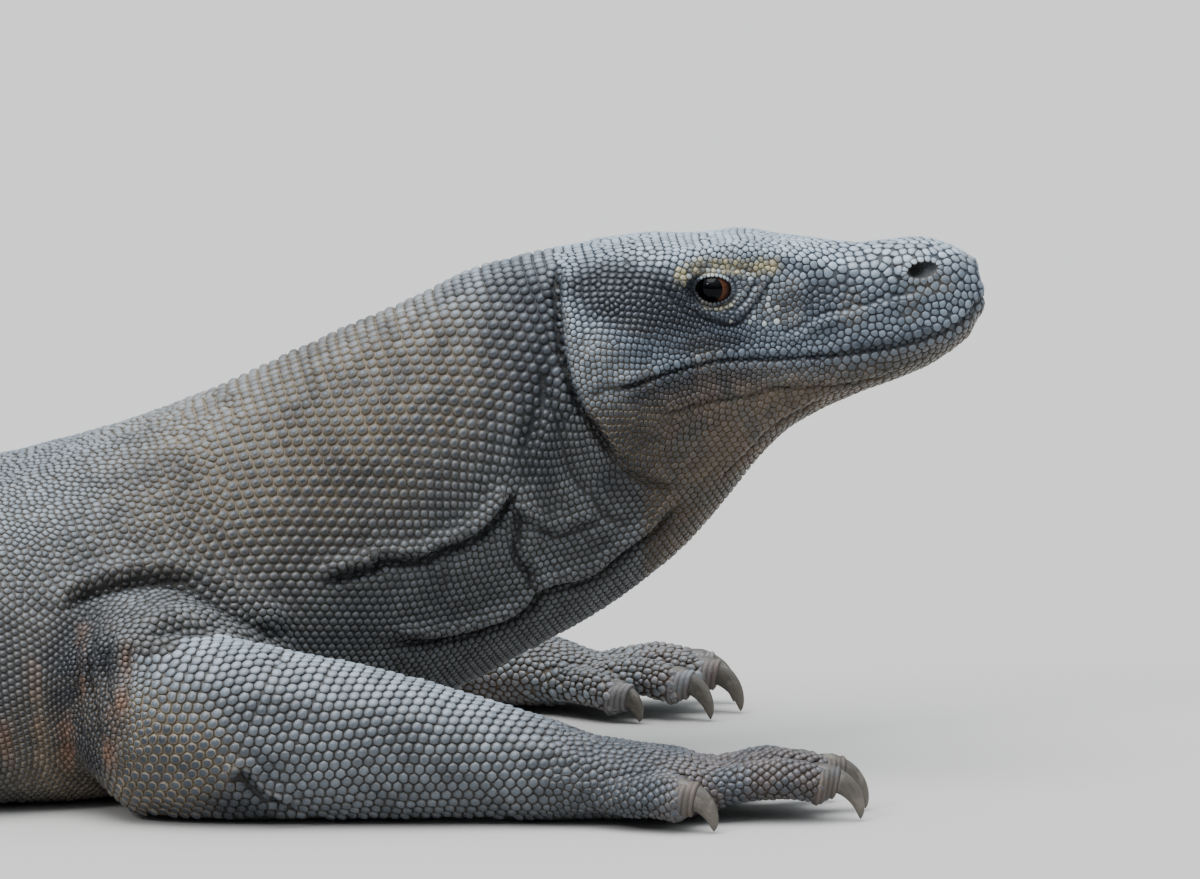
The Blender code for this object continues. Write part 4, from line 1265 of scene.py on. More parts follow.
def markings(points, part, turns, normals):
    """How much of each colour the hide has at each point, the same for the skin and its scales.
    Pale is partly the hide's own wear and partly a painted sheen on upward faces.
    """
    x, z = points[:, 0], points[:, 2]
    head = 1.0 - behind_head(points)
    upward = np.clip(normals[:, 2], 0.0, 1.0)
    jaw = head * smooth(0.004, -0.022, z - mouth_height(x))
    below = np.abs(turns)
    nape = (1.0 - head) * smooth(2.0, 0.9, below) * smooth(0.16, 0.30, x)
    near_head = nape * smooth(0.44, 0.545, x)
    throat = (1.0 - head) * smooth(1.3, 2.0, below) * smooth(0.36, 0.44, x)
    rear = smooth(0.30, 0.10, x)
    tan = 0.45 + 0.50 * patch(points, *TAN_NECK)
    # Upward faces of the head, painted pale: a painted sheen of the sky.
    crown = head * smooth(0.020, 0.046, z - mouth_height(x)) * upward**2
    snout = head * smooth(0.655, 0.700, x)
    shoulders = nape * smooth(0.36, 0.28, x)
    wrinkled = smooth(0.0, 0.7, lattice_noise(points * (1.0, 0.3, 0.22), 0.013, 21))
    slate, earth, pale, dark = np.zeros((4, len(points)))
    # The shares in upward paint the tops paler: a painted sheen of the sky on them.
    for share, cool, warm, light, black in (
        (head, 0.92, 0.10, 0.24, -0.12),
        (jaw, -0.90, 0.82, -0.42, 0.28),
        (snout, 0.0, 0.0, 0.16, 0.0),
        (crown, 0.0, 0.0, 2.9 - 1.3 * snout, 0.0),
        (nape, 0.50, tan, 0.01 + 0.46 * upward**2, 0.42 * smooth(0.40, 0.50, x) * wrinkled),
        (near_head, 0.22, -0.28, 0.35 * upward**2, 0.0),
        (shoulders, 0.0, 0.0, 0.38 * upward**2, 0.0),
        (throat, 0.30, 0.20, 0.23, 0.0),
        (rear, 0.30, 0.55, 0.30 * upward, 0.0),
        (1.0, 0.0, 0.0, 0.0, 0.12),
    ):
        slate += cool * share
        earth += warm * share
        pale += light * share
        dark += black * share
    stained = smooth(0.05, 0.55, lattice_noise(points, 0.015, 23))
    earth += 0.42 * head * (1.0 - jaw) * (1.0 - 0.8 * crown) * stained
    arm, hand = limb_shares(points, part)
    far_side = points[:, 1] > 0.0
    # The far side's hands, most where they face down, are painted browner and paler: brown of their
    # own, and painted light where shade falls on them.
    far_brown_and_painted_light = far_side * (1.0 - 0.7 * upward)
    limb = np.maximum(arm, hand)
    # Arms and hands are painted paler on their upward faces: a painted sheen of the sky.
    of_arm = 0.48, 0.26, 0.22 + 0.56 * upward**2
    of_hand = (
        0.68 * (1.0 - far_brown_and_painted_light), 0.30 + 0.70 * far_brown_and_painted_light, 0.01 + 0.12 * upward**2 + 0.76 * far_brown_and_painted_light
    )
    for share, (cool, warm, light) in ((arm, of_arm), (hand, of_hand)):
        slate = slate + (cool - slate) * share
        earth = earth + (warm - earth) * share
        pale = pale + (light - pale) * share
        dark = dark * (1.0 - share)
    at_arm = beside_arm(points)
    for centre, half, tilt, share in DARK_PATCHES:
        dark = np.maximum(dark, share * patch(points, centre, half, tilt) * (1.0 - limb))
    # Painted shade by the arm.
    for centre, half, tilt, share in SHADE_BY_ARM:
        dark = np.maximum(dark, share * patch(at_arm, centre, half, tilt) * (1.0 - hand))
    brown = 0.60 * patch(points, *BROWN_CHEEK) * head
    pale += 0.3 * brown
    brown = np.maximum(brown, 0.95 * patch(at_arm, *BROWN_BY_ARM) * (1.0 - hand))
    pale *= 1.0 - 0.65 * patch(at_arm, *DULL_BY_ARM) * (1.0 - hand)
    earth = np.maximum(earth, brown)
    streaks = smooth(-0.25, 0.45, lattice_noise(points * (1.0, 0.3, 0.20), 0.0075, 22))
    rust = 0.26 * jaw * smooth(0.58, 0.64, x) + 0.36 * hand * far_brown_and_painted_light
    for centre, half, tilt, share in RUST_BY_ARM:
        rust = np.maximum(rust, share * streaks * patch(at_arm, centre, half, tilt))
    cream = np.zeros(len(points))
    for route, full, wide, strength in CREAM_LINES:
        near, distance, _, _ = beside(points[:, (0, 2)], route, 1.4 * wide)
        cream[near] = np.maximum(cream[near], smooth(wide, full, distance) * strength)
    cream *= np.abs(points[:, 1]) > 0.014
    pale *= 0.83 * (1.0 - 0.95 * dark)
    tone = np.stack([slate, earth, dark], axis=1)
    mark = np.stack([pale, cream, rust], axis=1)
    return np.clip(tone, 0.0, 1.0), np.clip(mark, 0.0, 1.0)


def with_buttons(places, mark):
    """The single pale scales before and below the eye."""
    for side in SIDES:
        mine = np.flatnonzero(places[:, 1] * outward_of(side) > 0.012)
        for button in PALE_BUTTONS:
            gap = np.hypot(places[mine, 0] - button[0], places[mine, 2] - button[1])
            mark[mine[gap.argmin()]] = (1.0, 0.45, 0.0)
    return mark


# ---- the unwrap shared by the skin and its scales ------------------------------------------------
TRUNK_TALL, LIMB_TALL = 0.48, 0.18  # how high the trunk and a limb lie in the unwrap
UNWRAPPED_SCALE = 0.0015  # half the width of a scale in the unwrap


def unwrapped(tube, points, part, over):
    """(u, v) of each point: trunk and limbs unrolled from below, hands and feet laid flat."""
    lengths, turns = trunk_place(tube, points)
    u, v = 0.01 + 0.98 * lengths / tube.run[-1], 0.29 + TRUNK_TALL / 2 * turns / math.pi
    for side in SIDES:
        for parts in (ARM_NODES, LEG_NODES):
            left = 0.005 + 0.50 * (side == "left")
            lower = 0.575 + 0.21 * (parts == LEG_NODES)
            stops = [box_middle(f"{word}_{side}") for word in parts]
            for index in range(2):
                mine = made_of(part, parts[index], side)
                way = stops[index + 1] - stops[index]
                across = unit(np.cross(way, UP))
                offset = points[mine] - stops[index]
                along = offset @ way / (way @ way)
                turn = np.arctan2(offset @ across, offset @ unit(np.cross(across, way)))
                u[mine] = left + 0.015 + 0.14 * index + 0.055 * np.clip(along + 0.6, 0.0, 2.3)
                v[mine] = lower + 0.10 + LIMB_TALL / 2 * turn / math.pi
            mine = made_of(part, parts[2], side)
            low, high = (np.array(corner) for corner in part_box(f"{parts[2]}_{side}"))
            share = (points[mine] - low) / (high - low)
            u[mine] = left + 0.31 + 0.16 * share[:, 0]
            v[mine] = lower + np.where(over[mine], 0.105, 0.005) + 0.09 * share[:, 1]
    return np.stack([u, v], axis=1)


def unwrapped_faces(tube, points, triangles):
    """(u, v) of each triangle's corners, with no triangle torn across the seams."""
    corners = points[triangles]
    over = np.cross(corners[:, 1] - corners[:, 0], corners[:, 2] - corners[:, 0])[:, 2] > 0.0
    part = owners(corners.mean(axis=1))
    flat = unwrapped(tube, corners.reshape(-1, 3), np.repeat(part, 3), np.repeat(over, 3))
    flat = flat.reshape(-1, 3, 2)
    tall = np.where(part < len(TRUNK_NODES), TRUNK_TALL, LIMB_TALL)[:, None]
    torn = flat[:, :, 1].max(axis=1) - flat[:, :, 1].min(axis=1) > 0.4 * tall[:, 0]
    low = flat[:, :, 1] < flat[:, :, 1].max(axis=1, keepdims=True) - 0.4 * tall
    flat[:, :, 1] += np.where(torn[:, None] & low, tall, 0.0)
    return flat.reshape(-1, 2)


# ---- one scale, and the tree of nodes that lays it ----------------------------------------------
# Each shape of scale: (its rings from foot to crown as (share of its reach, share of its height),
# how many corners it has).
SCALES = {
    "plate": (((1.00, -0.50), (0.92, 0.44), (0.62, 0.90)), 8),
    "dome": (((1.00, -0.50), (0.91, 0.16), (0.63, 0.76)), 8),
    "bead": (((1.00, -0.50), (0.82, 0.58)), 6),
}
SCALE_OF = {
    "head": "plate", "arm": "plate", "neck": "dome", "shoulders": "dome",
    "trunk": "bead", "tail": "bead", "leg": "bead",
}


def scale_shape(name, rings, spokes):
    """A scale of unit reach and height, standing on its foot, its crown at the top."""
    points, spoke = [], []
    for reach, height in rings:
        for k in range(spokes):
            turn = 2 * math.pi * k / spokes
            points.append((math.cos(turn) * reach, math.sin(turn) * reach, height))
            spoke.append(k)
    faces = ring_faces(len(rings), spokes)
    crown, last = len(points), (len(rings) - 1) * spokes
    points.append((0.0, 0.0, 1.0))
    spoke.append(0)
    faces += [(last + k, last + (k + 1) % spokes, crown) for k in range(spokes)]
    mesh = new_mesh(name, points, faces)
    mesh.attributes.new("spoke", "INT", "POINT").data.foreach_set("value", spoke)
    return new_object(name, mesh)


class Nodes:
    """A node tree under construction."""

    def __init__(self, tree):
        self.tree = tree

    def add(self, kind, inputs=(), **settings):
        node = self.tree.nodes.new(kind)
        for key, value in settings.items():
            setattr(node, key, value)
        self.give(node, dict(inputs))
        return node

    def give(self, node, inputs):
        for key, value in inputs.items():
            self.feed(node.inputs[key], value)

    def feed(self, socket, value):
        if isinstance(value, bpy.types.NodeSocket):
            self.tree.links.new(value, socket)
        else:
            socket.default_value = value

    def math(self, operation, a, b=0.0):
        return self.add("ShaderNodeMath", {0: a, 1: b}, operation=operation).outputs[0]

    def times(self, a, b):
        return self.math("MULTIPLY", a, b)

    def plus(self, a, b):
        return self.math("ADD", a, b)

    def vector(self, operation, a, b):
        node = self.add("ShaderNodeVectorMath", {0: a}, operation=operation)
        self.feed(node.inputs["Scale" if operation == "SCALE" else 1], b)
        return node.outputs[0]

    def read(self, name, data_type="FLOAT"):
        node = self.add("GeometryNodeInputNamedAttribute", data_type=data_type)
        node.inputs["Name"].default_value = name
        return node.outputs["Attribute"]

    def mix(self, share, a, b, blend="MIX"):
        node = self.add("ShaderNodeMix", data_type="RGBA", blend_type=blend)
        self.feed(node.inputs[0], share)
        self.feed(node.inputs[6], a)
        self.feed(node.inputs[7], b)
        return node.outputs[2]

    def spread(self, value, low, high, to_low=0.0, to_high=1.0):
        """value mapped in an even S from low..high to to_low..to_high."""
        inputs = {"Value": value, "From Min": low, "From Max": high}
        inputs |= {"To Min": to_low, "To Max": to_high}
        return self.add("ShaderNodeMapRange", inputs, interpolation_type="SMOOTHSTEP").outputs[0]

    def noise(self, place, scale, detail=3.0, roughness=0.55):
        inputs = {"Vector": place, "Scale": scale, "Detail": detail, "Roughness": roughness}
        return self.add("ShaderNodeTexNoise", inputs).outputs[0]

    def attribute(self, name, output="Fac"):
        return self.add("ShaderNodeAttribute", attribute_name=name).outputs[output]

    def place(self):
        """Where on the object it is."""
        return self.add("ShaderNodeTexCoord").outputs["Object"]

    def parts(self, vector):
        return self.add("ShaderNodeSeparateXYZ", {0: vector}).outputs

    def bump(self, strength, distance, height):
        inputs = {"Strength": strength, "Distance": distance, "Height": height}
        return self.add("ShaderNodeBump", inputs).outputs[0]


def new_group(name, kind, inputs, outputs):
    """(group, its Nodes, its inputs) of an empty group with those sockets."""
    group = bpy.data.node_groups.new(name, kind)
    for way, sockets in (("INPUT", inputs), ("OUTPUT", outputs)):
        for word, socket in sockets.items():
            group.interface.new_socket(word, in_out=way, socket_type="NodeSocket" + socket)
    n = Nodes(group)
    return group, n, n.add("NodeGroupInput").outputs


def scale_tree(spokes):
    """Geometry Nodes: a scale on each root, stretched to its own reaches, then made real mesh."""
    tree, n, inputs = new_group(
        f"lay scales of {spokes} corners", "GeometryNodeTree",
        {"Roots": "Geometry", "Scale shape": "Object", "Patch": "Float", "Finish": "Material"},
        {"Scales": "Geometry"},
    )
    shape = n.add("GeometryNodeObjectInfo", {"Object": inputs["Scale shape"]})
    laid = n.add(
        "GeometryNodeInstanceOnPoints",
        {"Points": inputs["Roots"], "Instance": shape.outputs["Geometry"]},
    )
    real = n.add("GeometryNodeRealizeInstances", {"Geometry": laid.outputs[0]})
    root = n.read("root", "FLOAT_VECTOR")
    out, lie = n.read("out", "FLOAT_VECTOR"), n.read("lie", "FLOAT_VECTOR")
    place = n.add("GeometryNodeInputPosition").outputs[0]
    offset = n.vector("SUBTRACT", place, root)
    own = n.parts(offset)
    pick = n.add("GeometryNodeIndexSwitch", data_type="FLOAT")
    while len(pick.index_switch_items) < spokes:
        pick.index_switch_items.new()
    n.feed(pick.inputs["Index"], n.read("spoke", "INT"))
    for k in range(spokes):
        n.feed(pick.inputs[k + 1], n.read(f"reach_{k}"))
    reach = pick.outputs[0]
    forward, sideways = n.times(own[0], reach), n.times(own[1], reach)
    upward = n.plus(n.times(own[2], n.read("height")), n.times(forward, n.read("lean")))
    spot, across = root, n.vector("CROSS_PRODUCT", out, lie)
    for way, far in ((lie, forward), (across, sideways), (out, upward)):
        spot = n.vector("ADD", spot, n.vector("SCALE", way, far))
    crown = n.add(
        "GeometryNodeStoreNamedAttribute",
        {"Geometry": real.outputs[0], "Name": "crown", "Value": own[2]},
        data_type="FLOAT", domain="POINT",
    )
    mapped = n.add(
        "GeometryNodeStoreNamedAttribute", {"Geometry": crown.outputs[0], "Name": "OFBake"},
        data_type="FLOAT2", domain="CORNER",
    )
    within = n.vector("SCALE", offset, inputs["Patch"])
    n.feed(mapped.inputs["Value"], n.vector("ADD", n.read("unwrapped", "FLOAT_VECTOR"), within))
    moved = n.add("GeometryNodeSetPosition", {"Geometry": mapped.outputs[0], "Position": spot})
    even = n.add("GeometryNodeSetShadeSmooth", {"Geometry": moved.outputs[0]})
    dressed = n.add(
        "GeometryNodeSetMaterial", {"Geometry": even.outputs[0], "Material": inputs["Finish"]}
    )
    n.add("NodeGroupOutput", {0: dressed.outputs[0]})
    return tree


def set_input(modifier, name, value):
    """Sets a Geometry Nodes input by its socket's identifier."""
    for item in modifier.node_group.interface.items_tree:
        if item.item_type == "SOCKET" and item.in_out == "INPUT" and item.name == name:
            modifier[item.identifier] = value
            return
    raise KeyError(name)


def store(mesh, name, values):
    """values on the mesh's points, one number or one vector each."""
    values = np.asarray(values, np.float32)
    kind, key = ("FLOAT_VECTOR", "vector") if values.ndim == 2 else ("FLOAT", "value")
    mesh.attributes.new(name, kind, "POINT").data.foreach_set(key, values.ravel())


def laid_scales(name, shape, tree, coat, reach, chosen, finish):
    """One piece of the coat: the chosen scales as a single plain mesh."""
    mesh = bpy.data.meshes.new(name)
    mesh.vertices.add(len(chosen))
    set_points(mesh, coat["root"][chosen])
    for key, values in coat.items():
        store(mesh, key, values[chosen])
    helpers = ["root", "out", "lie", "height", "lean", "unwrapped", "spoke"]
    for k in range(reach.shape[1]):
        store(mesh, f"reach_{k}", reach[chosen, k])
        helpers.append(f"reach_{k}")
    roots = new_object(name + "_roots", mesh)
    modifier = roots.modifiers.new("scales", "NODES")
    modifier.node_group = tree
    set_input(modifier, "Scale shape", shape)
    set_input(modifier, "Patch", UNWRAPPED_SCALE)
    set_input(modifier, "Finish", finish)
    whole = plain_mesh(roots)
    whole.name = name
    for key in helpers:
        whole.attributes.remove(whole.attributes[key])
    set_points(whole, off_floor(points_of(whole)))
    whole.update()
    piece = new_object(name, whole)
    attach(piece, "root")


# Stretches of the trunk behind the head, by x: (from, to).
COAT_SPANS = {
    "neck": (0.36, math.inf), "shoulders": (0.12, 0.36), "trunk": (-0.45, 0.12),
    "tail": (-math.inf, -0.45),
}


def lay_coat(coat, places, normals, lies, widths, part, finish):
    """Every scale, in pieces by the part of the body, with plainer ones towards the tail."""
    x = places[:, 0]
    regions = {"head": (part < len(TRUNK_NODES)) & (behind_head(places) < 0.5)}
    for side in SIDES:
        for limb, words in (("arm", ARM_NODES), ("leg", LEG_NODES)):
            mine = [made_of(part, word, side) for word in words]
            regions[f"{limb}_{side}"] = np.any(mine, axis=0)
    taken = np.any(list(regions.values()), axis=0)
    for word, (low, high) in COAT_SPANS.items():
        regions[word] = ~taken & (x > low) & (x <= high)
    shapes = {word: scale_shape(word, rings, spokes) for word, (rings, spokes) in SCALES.items()}
    trees = {spokes: scale_tree(spokes) for _, spokes in SCALES.values()}
    reaches = {spokes: room_round(places, normals, lies, widths, spokes) for spokes in trees}
    for word, mine in regions.items():
        kind = SCALE_OF[word.split("_")[0]]
        rings, spokes = SCALES[kind]
        triangles = (2 * len(rings) - 1) * spokes
        chosen = np.flatnonzero(mine)
        chosen = chosen[np.argsort(x[chosen])]
        parts = math.ceil(len(chosen) * triangles / PIECE_TRIANGLES)
        for number, share in enumerate(np.array_split(chosen, parts), 1):
            name = f"scales_{word}_{number}"
            laid_scales(name, shapes[kind], trees[spokes], coat, reaches[spokes], share, finish)
    for shape in shapes.values():
        discard(shape)


# ---- materials ----------------------------------------------------------------------------------
GREY = (0.060, 0.058, 0.054, 1.0)
SLATE = (0.037, 0.053, 0.079, 1.0)
EARTH = (0.144, 0.116, 0.081, 1.0)
CAP = (0.016, 0.021, 0.030, 1.0)
DARK = (0.009, 0.011, 0.016, 1.0)
# Pale scuffs, and a painted sheen of the sky on upward faces.
PALE = (0.278, 0.334, 0.390, 1.0)
CREAM = (0.290, 0.256, 0.152, 1.0)
RUST = (0.118, 0.060, 0.036, 1.0)
HORN_ROOT = (0.055, 0.048, 0.040, 1.0)
HORN_POINT = (0.112, 0.098, 0.078, 1.0)
HORN_STREAK = (0.028, 0.025, 0.022, 1.0)
HORN_WORN = (0.185, 0.165, 0.135, 1.0)
PUPIL = (0.0004, 0.0006, 0.0012, 1.0)
IRIS_LIGHT = (0.070, 0.024, 0.011, 1.0)
IRIS_DARK = (0.028, 0.012, 0.008, 1.0)
IRIS_RING = (0.085, 0.030, 0.013, 1.0)
IRIS_LID_SHADE = (0.010, 0.006, 0.005, 1.0)
EYE_RIM_SHADE = (0.022, 0.011, 0.009, 1.0)
FLOOR_TONES = ((0.385, 0.375, 0.360, 1.0), (0.405, 0.395, 0.380, 1.0))
# The skin between the scales takes the painted shade of a scale's foot.
SKIN_CROWN = 0.08  # the skin is coloured like this height of a scale, between its foot and crown
SHEATH_CROWN = 0.55


def new_material(name):
    """(material, its Nodes, its main shader)."""
    material = bpy.data.materials.new(name)
    material.use_nodes = True
    return material, Nodes(material.node_tree), material.node_tree.nodes["Principled BSDF"]


def hide_colour():
    """Shader group: the hide's colour, roughness and fine grain from its markings, with painted
    shade at each scale's foot and in grooves and openings.
    """
    group, n, given = new_group(
        "hide colour", "ShaderNodeTree",
        {"Tone": "Vector", "Mark": "Vector", "Crown": "Float", "Tint": "Float", "Gloom": "Float"},
        {"Color": "Color", "Roughness": "Float", "Height": "Float"},
    )
    crown, tint = given["Crown"], given["Tint"]
    slate, earth, dark = n.parts(given["Tone"])
    pale, cream, rust = n.parts(given["Mark"])
    place = n.place()
    broad = n.noise(place, 9.0, 3.0)
    mottle = n.noise(place, 46.0, 4.0, 0.6)
    flecks = n.noise(place, 210.0, 3.0, 0.6)
    fine = n.noise(place, 700.0, 3.0, 0.6)
    colour = n.mix(slate, GREY, SLATE)
    between = n.times(earth, n.spread(crown, 0.66, 0.95, 1.0, 0.10))
    colour = n.mix(n.times(between, n.spread(mottle, 0.25, 0.60, 0.55, 1.15)), colour, EARTH)
    capped = n.times(earth, n.spread(pale, 0.05, 0.50, 1.0, 0.10))
    capped = n.times(capped, n.spread(rust, 0.0, 0.22, 1.0, 0.15))
    colour = n.mix(n.times(capped, n.spread(crown, 0.64, 0.92)), colour, CAP)
    worn = n.plus(n.times(mottle, 0.60), n.plus(n.times(flecks, 0.40), n.times(pale, 0.32)))
    worn = n.spread(worn, 0.41, 0.66, 0.20, 1.0)
    # Pale on the scales' tops: scuffs, and a painted sheen of the sky where the pale share comes
    # from upward faces.
    scuffs_and_painted_sheen = n.times(n.times(pale, n.spread(crown, 0.0, 0.7)), worn)
    colour = n.mix(scuffs_and_painted_sheen, colour, PALE)
    colour = n.mix(n.times(dark, n.spread(mottle, 0.30, 0.62, 1.0, 0.75)), colour, DARK)
    colour = n.mix(n.times(rust, n.spread(mottle, 0.38, 0.58)), colour, RUST)
    patchy = n.times(n.spread(flecks, 0.40, 0.56, 0.30, 1.0), n.spread(tint, 0.05, 0.60, 0.45, 1.0))
    colour = n.mix(n.times(cream, patchy), colour, CREAM)
    # Painted shade: each scale darker towards its foot, less so on tan rims, and darker in grooves
    # and openings. The broad and fine noise and each scale's tint are its own tone.
    foot = n.plus(n.times(earth, 0.30), 0.70)
    shade = n.spread(broad, 0.30, 0.70, 0.82, 1.16)
    for value, low, high, to_low, to_high in (
        (tint, 0.0, 1.0, 0.80, 1.20), (crown, -0.5, 0.1, 0.50, 1.0), (crown, 0.0, 0.75, foot, 1.06),
        (given["Gloom"], 0.0, 1.0, 1.0, 0.30), (fine, 0.25, 0.75, 0.88, 1.10),
    ):
        shade = n.times(shade, n.spread(value, low, high, to_low, to_high))
    rough = n.plus(n.spread(crown, 0.4, 0.9, 0.70, 0.30), n.times(n.plus(fine, -0.5), 0.25))
    n.add("NodeGroupOutput", {
        "Color": n.vector("SCALE", colour, shade), "Roughness": rough, "Height": fine,
    })
    return group


def hide_material(name, colours, crown, grain, granules=False):
    """A finish of the hide. crown is where on a scale it is, read from the piece if None."""
    material, n, shader = new_material(name)
    hide = n.add("ShaderNodeGroup", node_tree=colours)
    n.give(hide, {
        "Tone": n.attribute("tone", "Vector"),
        "Mark": n.attribute("mark", "Vector"),
        # Painted shade of the grooves and openings.
        "Gloom": n.attribute("gloom"),
        "Tint": n.attribute("tint") if crown is None else 0.5,
        "Crown": n.attribute("crown") if crown is None else crown,
    })
    height = hide.outputs["Height"]
    if granules:
        cells = n.add("ShaderNodeTexVoronoi", {"Vector": n.place(), "Scale": 820.0}, feature="F1")
        raised = n.spread(cells.outputs["Distance"], 0.1, 0.7, 1.0, 0.0)
        height = n.plus(n.times(height, 0.3), raised)
    n.give(shader, {
        "Base Color": hide.outputs["Color"],
        "Roughness": hide.outputs["Roughness"],
        "Normal": n.bump(0.6, grain, height),
        "Specular IOR Level": 0.36,
    })
    return material


def horn_material():
    """Claws: grey-brown horn with faint streaks from root to point and a pale worn back."""
    material, n, shader = new_material("claw_horn")
    streaked = n.vector("MULTIPLY", n.attribute("streak", "Vector"), (9.0, 9.0, 1.2))
    streak = n.noise(streaked, 1.6, 4.0, 0.6)
    worn = n.noise(n.place(), 160.0, 4.0, 0.6)
    colour = n.mix(n.spread(n.attribute("along"), 0.0, 0.9), HORN_ROOT, HORN_POINT)
    colour = n.mix(n.spread(streak, 0.42, 0.66, 0.0, 0.65), colour, HORN_STREAK)
    colour = n.mix(n.spread(worn, 0.50, 0.70, 0.0, 0.45), colour, HORN_WORN)
    n.give(shader, {
        "Base Color": colour,
        "Roughness": n.spread(worn, 0.3, 0.7, 0.34, 0.56),
        "Normal": n.bump(0.35, 0.0003, streak),
    })
    return material


def eye_material():
    """Eyes: a wide black pupil, an orange-brown iris with painted lid shade on its rear, and a dark
    rim of painted shade between lid and ball, under a clear wet surface.
    """
    material, n, shader = new_material("eye_wet")
    fleck = n.noise(n.place(), 900.0, 3.0, 0.6)
    edge = n.plus(n.attribute("off"), n.times(n.plus(fleck, -0.5), 0.02))
    iris = n.mix(n.spread(fleck, 0.35, 0.65), IRIS_LIGHT, IRIS_DARK)
    iris = n.mix(n.spread(edge, 0.74, 0.90), IRIS_RING, iris)
    # The rear of the iris is painted dark: painted shade of the lid.
    iris = n.mix(n.spread(n.attribute("front"), 0.10, 0.50), IRIS_LID_SHADE, iris)
    colour = n.mix(n.spread(edge, 0.71, 0.77), PUPIL, iris)
    n.give(shader, {
        # Beyond the iris, a dark rim: painted shade where the ball goes in under the lids.
        "Base Color": n.mix(n.spread(edge, 0.96, 1.08), colour, EYE_RIM_SHADE),
        "Roughness": n.spread(fleck, 0.3, 0.7, 0.16, 0.24),
        "Specular IOR Level": 0.0,
        "Coat Weight": 0.34,
        "Coat Roughness": 0.03,
        "Coat IOR": 1.36,
    })
    return material


def floor_material():
    material, n, shader = new_material("pale_floor")
    grain = n.noise(n.place(), 2.0, 3.0)
    n.give(shader, {"Base Color": n.mix(grain, *FLOOR_TONES), "Roughness": 0.9})
    return material


# ---- skin, eyes and claws -----------------------------------------------------------------------
WEIGHT_LEVELS = 8
UNDER_SCALES = 0.0002  # how much deeper than the scales' roots the skin lies


def thinned(mesh, points):
    """The skin with fewer triangles, the head's kept."""
    dense = new_object("skin_dense", mesh)
    group = dense.vertex_groups.new(name="wanted")
    front = 0.55 * smooth(0.02, 0.16, points[:, 0]) + 0.25 * smooth(0.28, 0.42, points[:, 0])
    head = smooth(0.50, 0.56, points[:, 0]) * smooth(0.06, 0.12, points[:, 2])
    weights = 0.05 + np.maximum(front, 0.95 * head)
    for level in range(WEIGHT_LEVELS):
        mine = np.flatnonzero((weights * (WEIGHT_LEVELS - 0.001)).astype(int) == level)
        group.add(mine.tolist(), (level + 0.5) / WEIGHT_LEVELS, "REPLACE")
    fewer = dense.modifiers.new("fewer", "DECIMATE")
    fewer.ratio = SKIN_TRIANGLES / (2.0 * len(mesh.polygons))
    fewer.vertex_group = "wanted"
    fewer.invert_vertex_group = True
    fewer.vertex_group_factor = 0.6
    return plain_mesh(dense)


def pressed_under(points, triangles, roots, outs):
    """The skin pushed in wherever it stands over the root of a scale."""
    tree = tree_of(points, triangles)
    pushed = np.zeros(len(points))
    for root, out in zip(roots, outs):
        spot, _, face, away = tree.ray_cast(Vector(root), Vector(out), 0.0045)
        if spot is not None:
            for corner in triangles[face]:
                pushed[corner] = max(pushed[corner], away)
    return points - normals_of(points, triangles) * pushed[:, None]


def make_skin(tube, mesh, points, gloom, places, outs, depth, finish):
    """The skin under the scales, in one piece, in place of all the solids of flesh."""
    thin = thinned(mesh, points)
    thin.name = "skin"
    own, triangles = mesh_arrays(thin)
    own_painted_shade = gloom[nearest_of(points, own)]
    sunk = depth[nearest_of(places, own)] + UNDER_SCALES
    sunk = relaxed(sunk, edges_of(triangles, len(own)), 1.0, 3)[:, 0]
    normals = normals_of(own, triangles)
    own -= normals * sunk[:, None]
    for _ in range(3):
        own = pressed_under(own, triangles, places - outs * (depth + 0.0001)[:, None], outs)
    set_points(thin, off_floor(own))
    part = owners(own)
    tone, mark = markings(own, part, trunk_place(tube, own)[1], normals)
    store(thin, "tone", tone)
    store(thin, "mark", mark)
    store(thin, "gloom", own_painted_shade)
    flat = unwrapped_faces(tube, own, triangles)
    thin.uv_layers.new(name="OFBake").data.foreach_set("uv", flat.astype(np.float32).ravel())
    thin.materials.clear()
    thin.materials.append(finish)
    thin.shade_smooth()
    skin = new_object("skin", thin)
    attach(skin, "root")
    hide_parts(*HIDE_NODES)


def lofted(rings):
    """(points, faces) of a skin over rings of equal count, closed by a point at its last ring and
    one at its first."""
    count = len(rings[0])
    points = np.concatenate([*rings, [rings[-1].mean(axis=0), rings[0].mean(axis=0)]])
    faces = ring_faces(len(rings), count)
    last = (len(rings) - 1) * count
    for j in range(count):
        after = (j + 1) % count
        faces.append((last + j, last + after, len(points) - 2))
        faces.append((after, j, len(points) - 1))
    return points, faces


CLAW_STEPS, CLAW_ROUND = 22, 20
CLAW_FROM, CLAW_TO = math.radians(12), math.radians(88)
CLAW_ROOTED = 0.006  # how far a claw reaches back into its toe
CLAW_BACK = 0.16  # sections start this share of a claw's way before its root
CLAW_FLAT = -0.55  # below this share of its depth a claw is flattened
CLAW_CLEARANCE = 0.0004


